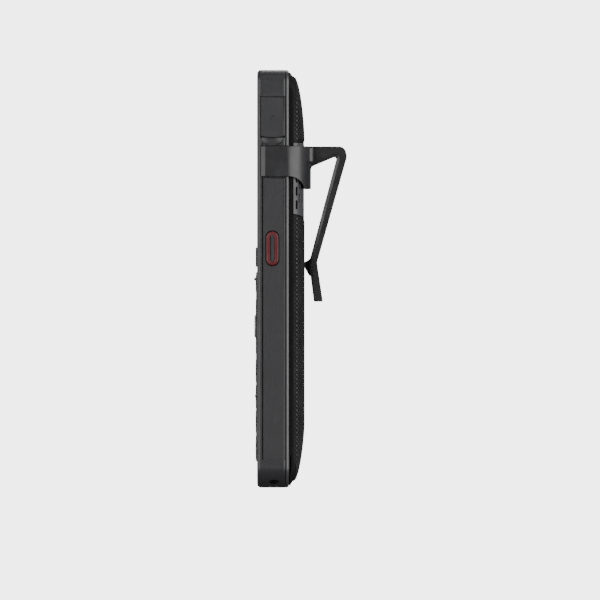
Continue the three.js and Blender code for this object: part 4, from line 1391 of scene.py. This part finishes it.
# ---------------------------------------------------------------- the back
@dataclass
class Back:
    """The crowned back: a knurled cover with a smooth lip, and the speaker grille let into it."""

    lip: float = 7.05
    flat_half: float = 13.0
    flat_foot: float = 22.5
    flat_head: float = 124.6
    foot_run: float = 20.3
    head_run: float = 23.3
    grille_dip: float = 95.95
    grille_rise: float = 3.35
    grille_span: float = 30.0
    slot_low: float = 101.6
    outlines: int = 160
    knurl_pitch: float = 1.6
    knurl_height: float = 0.2
    knurl_from: float = 8.15
    slot_pitch: float = 4.8
    slot_columns: tuple[float, ...] = (24.15, 22.5, 20.15, 17.6, 15.0, 12.4, 9.8, 7.2, 4.6, 2.0)

    def __post_init__(self) -> None:
        """Reads the cover's size off the frame."""
        self.low, self.high = extent("rear_cover")
        self.half = float(self.high[0])
        self.peak = float(self.high[1]) - 0.05
        self.grille_low, self.grille_high = extent("speaker_grille")

    def plan(self, share: Any) -> tuple[Any, Any, Any, Any]:
        """Gives the plan of the crown's outlines.

        With c the cosine of share times a quarter turn, the half width grows with c from the flat back's, the
        foot falls with c^1.5, the head rises with c^1.3, and the corners widen evenly with share.

        Args:
            share: 0 at the lip, 1 where the back becomes flat, one value or many.

        Returns:
            The half width, foot, head and corner radius.
        """
        cos = np.maximum(np.cos(share * np.pi / 2), 0)
        half = self.flat_half + (self.half - self.flat_half) * cos
        foot, head = self.flat_foot - self.foot_run * cos ** 1.5, self.flat_head + self.head_run * cos ** 1.3
        return half, foot, head, 6 + 5 * share

    def loop(self, share: float, wall: float = 0.0, steps: int = 12) -> tuple[Points, float]:
        """Gives one outline of the crown. Its level is the lip plus the rise times the sine of its turn.

        Args:
            share: 0 at the lip, 1 where the back becomes flat.
            wall: how far inside the outer face.
            steps: how many chords make up a corner.

        Returns:
            The outline in X and Z, and its level.
        """
        half, foot, head, corner = self.plan(share)
        level = self.lip + (self.peak - self.lip) * math.sin(share * np.pi / 2) - wall
        return round_rect((wall - half, foot + wall), (half - wall, head - wall), corner, steps), level

    def base_loop(self, inset: float) -> Points:
        """Draws the outline of the cover's foot, drawn in by an inset. Its ends reach further than the lip's."""
        low, high = self.low[[0, 2]] + (inset, inset - 0.5), self.high[[0, 2]] - (inset, inset - 0.4)
        return round_rect(low, high, 6.0, 12)

    def skin(self, name: str, outside: float = 0.0, inside: float = 1.5, steps: int = 22) -> bpy.types.Object:
        """Makes the crowned shell: its outer outlines from foot to flat, then its inner ones back down.

        Args:
            name: the object's name.
            outside: how far its outer face lies inside the back's.
            inside: how far its inner face does.
            steps: how many outlines the crown has.

        Returns:
            The shell, closed round its foot.
        """
        foot = float(self.low[1])
        outer = [(self.base_loop(outside + 0.12), foot), (self.base_loop(outside), foot + 0.12)]
        outer += [self.loop(share, outside) for share in np.linspace(0, 1, steps)]
        inner = [self.loop(share, inside) for share in np.linspace(1, 0, 12)]
        inner += [(self.base_loop(inside), foot)]
        shell = Shell()
        rows = [lift(loop, level, Plane.XZ) for loop, level in outer]
        shell.grid(np.stack(rows), wrap_columns=True)
        shell.fill([outer[-1][0]], outer[-1][1], Plane.XZ)
        rows = [lift(loop, level, Plane.XZ) for loop, level in inner]
        shell.grid(np.stack(rows), wrap_columns=True)
        shell.fill([inner[0][0]], inner[0][1], Plane.XZ)
        shell.fill([outer[0][0], inner[-1][0]], foot, Plane.XZ)
        return shell.solid(name)

    def dip(self, x: Points) -> Points:
        """Gives the grille's lower edge: the dip plus the rise times the square of x over the span."""
        return self.grille_dip + self.grille_rise * (x / self.grille_span) ** 2

    def band(self, grow: float) -> bpy.types.Object:
        """Makes the prism that the grille fills: its lower edge is a parabola that dips in the middle.

        Args:
            grow: how much larger than the grille.

        Returns:
            The prism.
        """
        span, top = self.grille_span, self.grille_high[2] + grow
        x = np.linspace(-span, span, 41)
        lower = np.stack([x, self.dip(x) - grow], 1)
        upper = np.array([[span, top], [-span, top]])
        return prism(Plane.XZ, np.concatenate([lower, upper]), self.lip + 0.3 - grow, 20)

    def height(self, x: Points, z: Points) -> Points:
        """Gives the back's level over points of its plan.

        For each of many outlines, a point's distance inside it is found, and the level is read where that
        distance changes sign.

        Args:
            x: places across.
            z: places along.

        Returns:
            Levels. Points outside the plan get the lip's level.
        """
        share = np.linspace(0, 1, self.outlines)
        half, foot, head, radius = self.plan(share)
        final = self.outlines - 1
        middle, reach = (foot + head) / 2, (head - foot) / 2
        u = np.abs(x)[..., None] - (half - radius)
        v = np.abs(z[..., None] - middle) - (reach - radius)
        corner = np.hypot(np.maximum(u, 0), np.maximum(v, 0)) + np.minimum(np.maximum(u, v), 0)
        inside = corner <= radius
        last = np.where(inside, np.arange(self.outlines), -1).max(-1)
        following = np.minimum(last + 1, final)
        here = np.take_along_axis(radius - corner, np.maximum(last, 0)[..., None], -1)[..., 0]
        there = np.take_along_axis(radius - corner, following[..., None], -1)[..., 0]
        part = np.where(here - there > 1e-9, here / np.maximum(here - there, 1e-9), 0)
        level = np.interp(np.clip(last + np.clip(part, 0, 1), 0, final) / final, share, np.sin(share * np.pi / 2))
        return self.lip + (self.peak - self.lip) * np.where(last < 0, 0, level)

    def along_arc(self, count: Points, reach: Callable[[Points], Points], span: float) -> Points:
        """Spaces places evenly along the surface instead of the plan.

        The arc length is the running sum of the hypotenuse of each small step and its rise.

        Args:
            count: distances along the surface from the middle.
            reach: gives the level at a place on the plan.
            span: how far the plan goes from the middle.

        Returns:
            Places on the plan.
        """
        plan = np.linspace(0, span, 900)
        level = reach(plan)
        arc = np.concatenate([[0], np.cumsum(np.hypot(np.diff(plan), np.diff(level)))])
        return np.interp(count, arc, plan, right=span + 1)

    def knurl(self) -> Shell:
        """Lays low four-sided pads on the crown, in staggered rows, each on the surface's own normal.

        Rows lie half a pitch apart and every second row is shifted by half a pitch. A pad is a frustum whose
        corners point along and across the back.

        Returns:
            The pads.
        """
        pitch = self.knurl_pitch
        rows = np.arange(-130, 131)
        columns = np.arange(-24, 25)
        j, i = np.meshgrid(rows, columns, indexing="ij")
        across = (i + 0.5 * (j % 2)) * pitch
        along = j * pitch / 2
        middle = 75.0
        width, length = np.abs(across), np.abs(along)
        x = self.along_arc(width, lambda q: self.height(q, np.full_like(q, middle)), self.half) * np.sign(across)
        up = self.along_arc(length, lambda q: self.height(np.zeros_like(q), middle + q), 73.0)
        down = self.along_arc(length, lambda q: self.height(np.zeros_like(q), middle - q), 73.0)
        z = middle + np.where(along > 0, up, -down)
        y = self.height(x, z)
        step = 0.05
        slope_x = (self.height(x + step, z) - self.height(x - step, z)) / (2 * step)
        slope_z = (self.height(x, z + step) - self.height(x, z - step)) / (2 * step)
        clear = (z < self.dip(x) - 1.0) | (z > self.grille_high[2] + 1.0)
        keep = (y > self.knurl_from) & clear & (np.abs(x) < self.half) & (z > 2) & (z < 148)
        x, y, z, slope_x, slope_z = (value[keep] for value in (x, y, z, slope_x, slope_z))
        normal = np.stack([-slope_x, np.ones_like(x), -slope_z], 1)
        normal /= np.linalg.norm(normal, axis=1, keepdims=True)
        side = np.stack([np.ones_like(x), slope_x, np.zeros_like(x)], 1)
        side /= np.linalg.norm(side, axis=1, keepdims=True)
        head = np.cross(side, normal)
        reach = pitch / 2
        ring = np.array([[1, 0], [0, 1], [-1, 0], [0, -1]], float)
        template = np.concatenate([
            np.column_stack([ring * reach * 0.93, np.full(4, -0.08)]),
            np.column_stack([ring * reach * 0.93, np.full(4, 0.0)]),
            np.column_stack([ring * reach * 0.62, np.full(4, self.knurl_height)])])
        centre = np.stack([x, y, z], 1)
        axes = np.stack([side, head, normal], 1)
        pads = centre[:, None] + np.einsum("pk,nkc->npc", template, axes)
        quads = [(a + k, a + (k + 1) % 4, a + 4 + (k + 1) % 4, a + 4 + k) for a in (0, 4) for k in range(4)]
        quads += [(0, 1, 2, 3), (8, 9, 10, 11)]
        faces = np.array(quads) + 12 * np.arange(len(pads))[:, None, None]
        shell = Shell()
        shell.faces(pads.reshape(-1, 3), faces.reshape(-1, 4))
        return shell

    def cover(self) -> None:
        """Makes the cover, cuts the grille's opening and the pry notches, and lays the knurl on it."""
        cover = self.skin("back_cover")
        foot = float(self.low[1])
        notches = side_blocks(self.half - 0.9, self.half + 2, (foot - 1, 3.4), (foot + 0.55, 11.6))
        combine(cover, Join.CUT, self.band(0.3), *notches)
        # The cover's near-black finish paints shade into the valleys between the knurl pads.
        set_down(smooth(cover), KNURLED_PAINTED_SHADE, "cover", "rear_cover")
        pads = self.knurl().solid("back_knurl")
        set_down(pads, KNURL_PAD, "cover", body="handset")

    def slot(self, x: float, z: float) -> bpy.types.Object:
        """Makes the cutter of one grille slot, turned to the surface's normal, with a broken edge.

        Args:
            x: its place across.
            z: the height of its middle.

        Returns:
            The cutter.
        """
        cos = np.clip((abs(x) - self.flat_half) / (self.half - self.flat_half), 0, 1)
        sin = math.sqrt(1 - cos ** 2)
        level = self.lip + (self.peak - self.lip) * sin
        lean = math.atan2((self.peak - self.lip) * cos, (self.half - self.flat_half) * sin) * np.sign(x)
        across, out = np.array([math.cos(lean), -math.sin(lean), 0]), np.array([math.sin(lean), math.cos(lean), 0])
        outline = pill((0, 0), (0.5, 1.65), 5)
        rows = []
        for grow, depth in ((0.0, -2.6), (0.0, -0.14), (0.12, 0.0), (0.12, 0.6)):
            flat = offset(outline, grow)
            rows.append(np.array([x, level, z]) + flat[:, :1] * across + flat[:, 1:] * (0, 0, 1) + depth * out)
        shell = Shell()
        shell.grid(np.stack(rows), wrap_columns=True)
        for row in (rows[0], rows[-1]):
            middle = row.mean(0)
            shell.grid(np.stack([row, np.broadcast_to(middle, row.shape)]), wrap_columns=True)
        return shell.solid("tool")

    def grille(self) -> None:
        """Makes the grille: the same crown between two heights, with staggered columns of upright slots."""
        body = combine(self.skin("grille"), Join.KEEP, self.band(0.0))
        tools = []
        for number, column in enumerate(self.slot_columns):
            shift = self.slot_pitch / 2 if number % 2 else 0.0
            for row in range(4):
                for x in (-column, column):
                    tools.append(self.slot(x, self.slot_low + shift + row * self.slot_pitch))
        combine(body, Join.CUT, *tools)
        set_down(smooth(body), INSERT, "grille", "speaker_grille")
        cloth = self.skin("grille_cloth", 1.55, 2.0)
        low, high = self.grille_low[2] - 4, self.grille_high[2] + 3
        outside = [block((-40, 0, -5), (40, 20, low)), block((-40, 0, high), (40, 20, 160))]
        combine(cloth, Join.CUT, *outside)
        set_down(smooth(cloth), BLACK, "black", body="handset")

    def build(self) -> None:
        """Makes and dresses the back."""
        self.cover()
        self.grille()


# ---------------------------------------------------------------- the belt clip
@dataclass
class BeltClip:
    """The clip in one piece: a yoke round the handset, a bracket, a bend and a spring leg with a tooth."""

    tip: float = -4.4
    shoulder: float = 4.6
    flat: float = 14.0
    sag: float = 0.6
    inside_flat: float = 13.0
    inside_lip: float = 7.05
    half_width: float = 10.5
    tooth_half: float = 8.0
    arm_thickness: float = 1.85
    arm_bottom: float = 111.9
    plate_back: float = 13.7
    plate_front: float = 11.6
    bracket_rise: float = 0.3
    bracket_foot: float = 117.3

    def __post_init__(self) -> None:
        """Reads the clip's size off the frame."""
        self.low, self.high = extent("clip_yoke")
        self.arm_outer = float(self.high[0])
        self.arm_inner = self.arm_outer - self.arm_thickness
        self.top, self.bottom = float(self.high[2]), float(self.low[2])

    def yoke_outline(self) -> Points:
        """Draws the yoke from above: two arms with slanted tips, round shoulders and a flat back.

        Shoulders are quarter ellipses, centre + (a cos t, b sin t), and the plate's back is a shallow parabola.

        Returns:
            The outline in X and Y, anticlockwise.
        """
        turn = np.linspace(0, np.pi / 2, 25)
        arc = np.stack([np.cos(turn), np.sin(turn)], 1)
        crown = self.plate_back - self.sag
        outer = (self.flat, self.shoulder) + arc * (self.arm_outer - self.flat, crown - self.shoulder)
        across = np.linspace(self.flat, 0, 12)[1:]
        plate = np.stack([across, self.plate_back - self.sag * (across / self.flat) ** 2], 1)
        inner = (self.inside_flat, self.inside_lip) + arc * (
            self.arm_inner - self.inside_flat, self.plate_front - self.inside_lip)
        tip = np.array([(self.arm_inner, self.tip), (self.arm_outer - 0.95, self.tip),
                        (self.arm_outer - 0.76, self.tip + 0.1), (self.arm_outer - 0.06, self.tip + 1.45),
                        (self.arm_outer, self.tip + 1.62)])
        right = np.concatenate([inner[::-1], tip, outer, plate])
        return np.concatenate([right, (right * (-1, 1))[::-1][1:]])

    def undercut(self) -> bpy.types.Object:
        """Makes the cutter that leaves the plate hanging lower than the arms.

        Seen from the side, the arms' level lower edge turns down to the plate along a quadratic curve.

        Returns:
            The cutter.
        """
        t = np.linspace(0, 1, 21)[:, None]
        edge, below = self.arm_bottom, 100.0
        start, pull, end = np.array([4.3, edge]), np.array([10.6, 112.1]), np.array([11.35, self.bottom - 0.2])
        curve = (1 - t) ** 2 * start + 2 * t * (1 - t) * pull + t ** 2 * end
        loop = np.concatenate([[[-10, edge], [-10, below], [end[0], below]], curve[::-1]])
        return prism(Plane.YZ, loop, -40, 40)

    def strip_outline(self) -> tuple[Points, Points]:
        """Draws the bracket, bend and leg from the side.

        Returns:
            The outline in Y and Z, anticlockwise, and the share of the edge bevel that each point takes: all
            of it on the side towards the handset and under the bracket, hardly any on the outside, and none at
            the root, which lies in the plate.
        """
        top = self.top + self.bracket_rise
        outside = [(15.87, 80.86, 3.0), (26.65, 118.9, 2.6), (25.95, top, 2.7)]
        root = [(12.6, top, 0.0), (12.6, 112.9, 0.0), (13.5, 112.9, 0.0)]
        inside = [(13.85, 115.45, 1.2), (23.15, 119.4, 0.7), (12.9, 80.6, 4.0)]
        tip = [(14.72, 66.8, 0.25), (17.97, 66.8, 0.25)]
        corners = tip + outside + root + inside
        points = fillet(corners, 14)
        chord = np.roll(points, -1, 0) - np.roll(points, 1, 0)
        facing = np.stack([chord[:, 1], -chord[:, 0]], 1) / np.linalg.norm(chord, axis=1, keepdims=True)
        underside = (facing[:, 1] < -0.5) & (points[:, 1] > 100)
        share = np.where((facing[:, 0] < -0.3) | underside, 1.0, 0.06)
        root_end = (points[:, 0] < 13.6) & (points[:, 1] > 100)
        return points, np.where(root_end, 0.0, share)[:, None]

    def root_fillets(self) -> list[bpy.types.Object]:
        """Makes the hollow fillets where the bracket's sides meet the plate: squares less a quarter circle.

        Returns:
            One prism for each side.
        """
        radius = 2.0
        turn = np.linspace(0, np.pi / 3, 13)
        centre = np.array([self.half_width + radius, self.plate_back + 1.0])
        hollow = centre - radius * np.stack([np.cos(turn), np.sin(turn)], 1)
        back = np.array([[centre[0], self.plate_back - 0.6], [self.half_width - 0.6, self.plate_back - 0.6],
                         [self.half_width - 0.6, centre[1]]])
        loop = np.concatenate([hollow, back])[::-1]
        area = 0.5 * np.sum(loop[:, 0] * np.roll(loop[:, 1], -1) - np.roll(loop[:, 0], -1) * loop[:, 1])
        loop = loop if area > 0 else loop[::-1]
        return [prism(Plane.XY, side, self.bracket_foot, self.top - 0.25) for side in (loop, (loop * (-1, 1))[::-1])]

    def build(self) -> None:
        """Makes the clip and gives it its finish."""
        yoke = rounded(self.bottom + 0.2, self.top + 0.28, 0.15, 0.2)
        clip = slab("belt_clip_moulding", Plane.XY, self.yoke_outline(), yoke)
        combine(clip, Join.CUT, self.undercut())
        outline, share = self.strip_outline()
        edge = [(1.15, 0.0), (1.12, 0.0), (0.1, 0.225), (0.02, 0.27), (0.0, 0.4)]
        levels = [(inset, drop - self.half_width) for inset, drop in edge]
        levels += [(inset, self.half_width - drop) for inset, drop in edge[::-1]]
        strip = slab("strip", Plane.YZ, outline, levels, share=share)
        tooth = fillet([(13.8, 75.9, 0.0), (13.8, 82.6, 0.0), (12.7, 81.5, 0.3), (11.52, 80.95, 0.35),
                        (11.52, 79.3, 0.6), (13.0, 76.6, 0.5)])[::-1]
        tooth = slab("tooth", Plane.YZ, tooth, rounded(-self.tooth_half, self.tooth_half, 0.2, 0.2))
        combine(clip, Join.ADD, strip, tooth, *self.root_fillets())
        smooth(clip, 11)
        clip.data.materials.clear()
        clip.data.materials.append(NYLON.material())
        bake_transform(clip)
        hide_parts("clip_yoke", "clip_arm")
        log.info("%s: %d faces", clip.name, len(clip.data.polygons))


# ---------------------------------------------------------------- what the shells hold
@dataclass
class Works:
    """The pieces inside, which keep their CAD shapes with softened edges."""

    finishes: dict[str, tuple[Finish, float]] = field(default_factory=lambda: {
        "lcd_module": (STEEL, 0.2), "earpiece": (BLACK, 0.15), "earpiece_mesh": (MESH, 0.03),
        "status_light": (GLASS, 0.05), "microphone": (STEEL, 0.1), "keypad_membrane": (BLACK, 0.1),
        "main_board": (BOARD, 0.1), "shield_can": (STEEL, 0.2), "usb_port": (STEEL, 0.05),
        "nav_carrier": (BLACK, 0.05), "battery_pack": (SLEEVE, 0.8), "loudspeaker": (BLACK, 0.5),
        "vibration_motor": (STEEL, 0.15), "antenna": (GOLD, 0.05),
        **{f"charge_contact_{number}": (GOLD, 0.2) for number in (1, 2, 3, 4)},
        **{f"housing_screw_{end}_{side}": (STEEL, 0.1) for end in ("lower", "upper") for side in ("left", "right")}})

    def build(self) -> None:
        """Dresses each piece: merges its loose faces, rounds its edges and gives it its finish."""
        for node, (finish, edge) in self.finishes.items():
            piece = frame["nodes"][node]
            piece.data.materials.clear()
            piece.data.materials.append(finish.material())
            weld = piece.modifiers.new("weld", "WELD")
            weld.merge_threshold = 0.001 * MM
            flat = piece.modifiers.new("flat", "DECIMATE")
            flat.decimate_type, flat.angle_limit = "DISSOLVE", math.radians(1)
            bevel = piece.modifiers.new("edges", "BEVEL")
            bevel.width, bevel.segments, bevel.limit_method = edge * MM, 2, "ANGLE"
            bevel.angle_limit = math.radians(40)
            piece.modifiers.new("normals", "WEIGHTED_NORMAL").keep_sharp = True
            log.info("%s: %s", node, finish.name)


# ---------------------------------------------------------------- studio
@dataclass
class Studio:
    """A pale floor, soft side lights and the camera."""

    distance: float = 6000.0
    aim_y: float = 9.73
    aim_z: float = 67.4
    reach: float = 1.5
    white: float = 4.5
    fill: float = 0.13
    bounce: float = 0.4

    def light(self, name: str, azimuth: float, height: float, size: Sequence[float], power: float) -> None:
        """Adds a soft box that faces the handset's middle and doesn't show itself.

        It stands at reach times (cos azimuth, sin azimuth) from the middle.

        Args:
            name: the light's name.
            azimuth: its direction in degrees, from +X towards +Y.
            height: its height in metres.
            size: its width and height in metres.
            power: its power in watts.
        """
        data = bpy.data.lights.new(name, "AREA")
        data.shape, data.size, data.size_y, data.energy = "RECTANGLE", size[0], size[1], power
        lamp = bpy.data.objects.new(name, data)
        turn = math.radians(azimuth)
        lamp.location = (self.reach * math.cos(turn), self.reach * math.sin(turn), height)
        aim = Vector((0, 0.005, 0.075)) - Vector(lamp.location)
        lamp.rotation_euler = aim.to_track_quat("-Z", "Y").to_euler()
        lamp.visible_camera = False
        bpy.context.scene.collection.objects.link(lamp)

    def strength(self, tree: bpy.types.NodeTree, lit: float) -> Any:
        """Gives white to the camera's own rays and a lower strength to all others."""
        seen = add(tree, "LightPath", {}, {}).outputs["Is Camera Ray"]
        return add(tree, "MapRange", {}, {0: seen, 1: 0.0, 2: 1.0, 3: lit, 4: self.white}).outputs[0]

    def world(self) -> None:
        """Makes a white surround that the camera sees in full and that lights the handset gently."""
        world = bpy.data.worlds.new("surround")
        bpy.context.scene.world = world
        world.use_nodes = True
        tree = world.node_tree
        tree.nodes.clear()
        strength = self.strength(tree, self.fill)
        glow = add(tree, "Background", {}, {"Color": (1, 1, 1, 1), "Strength": strength}).outputs[0]
        add(tree, "OutputWorld", {}, {"Surface": glow})

    def floor(self) -> None:
        """Lays a round white floor just under the handset, whose face glows and whose back is clear."""
        disc = circle((0, 0), 3000, 64)
        shell = Shell()
        shell.fill([disc], -0.6, Plane.XY)
        floor = shell.solid("floor")
        material = bpy.data.materials.new("white_paper")
        material.use_nodes = True
        tree = material.node_tree
        tree.nodes.clear()
        strength = self.strength(tree, self.bounce)
        glow = add(tree, "Emission", {}, {"Color": (1, 1, 1, 1), "Strength": strength}).outputs[0]
        back = add(tree, "NewGeometry", {}, {}).outputs["Backfacing"]
        clear = add(tree, "BsdfTransparent", {}, {}).outputs[0]
        sheet = add(tree, "MixShader", {}, {0: back, 1: glow, 2: clear}).outputs[0]
        add(tree, "OutputMaterial", {}, {"Surface": sheet})
        floor.data.materials.append(material)

    def camera(self) -> None:
        """Sets a long lens square on to the side with the alert button."""
        data = bpy.data.cameras.new("camera")
        data.lens, data.sensor_width = 999, 36
        data.clip_end = 20
        camera = bpy.data.objects.new("camera", data)
        camera.location = (self.distance * MM, self.aim_y * MM, self.aim_z * MM)
        camera.rotation_euler = (math.pi / 2, 0, math.pi / 2)
        bpy.context.scene.collection.objects.link(camera)
        bpy.context.scene.camera = camera

    def build(self) -> None:
        """Sets up everything that isn't the object."""
        self.camera()
        self.world()
        self.floor()
        for light in (
            ("front_box", -52, 0.3, (1.6, 1.4), 24),
            ("back_box", 62, 0.3, (2.3, 1.4), 48),
            ("side_strip", -22, 0.25, (0.3, 0.6), 4.0),
            ("top_box", 5, 2.6, (1.6, 1.6), 9),
            ("far_box", 165, 2.0, (1.2, 1.2), 26),
            ("far_front_box", -150, 0.4, (0.6, 1.2), 7),
        ):
            self.light(*light)


def main() -> None:
    """Builds the sub-assemblies in order."""
    logging.basicConfig(level=logging.INFO, format="%(message)s")
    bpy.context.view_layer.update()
    Studio().build()
    keypad = Keypad()
    keypad.build()
    Enclosure().build(keypad)
    SideControls().build()
    Back().build()
    BeltClip().build()
    Works().build()


if __name__ == "__main__":
    main()
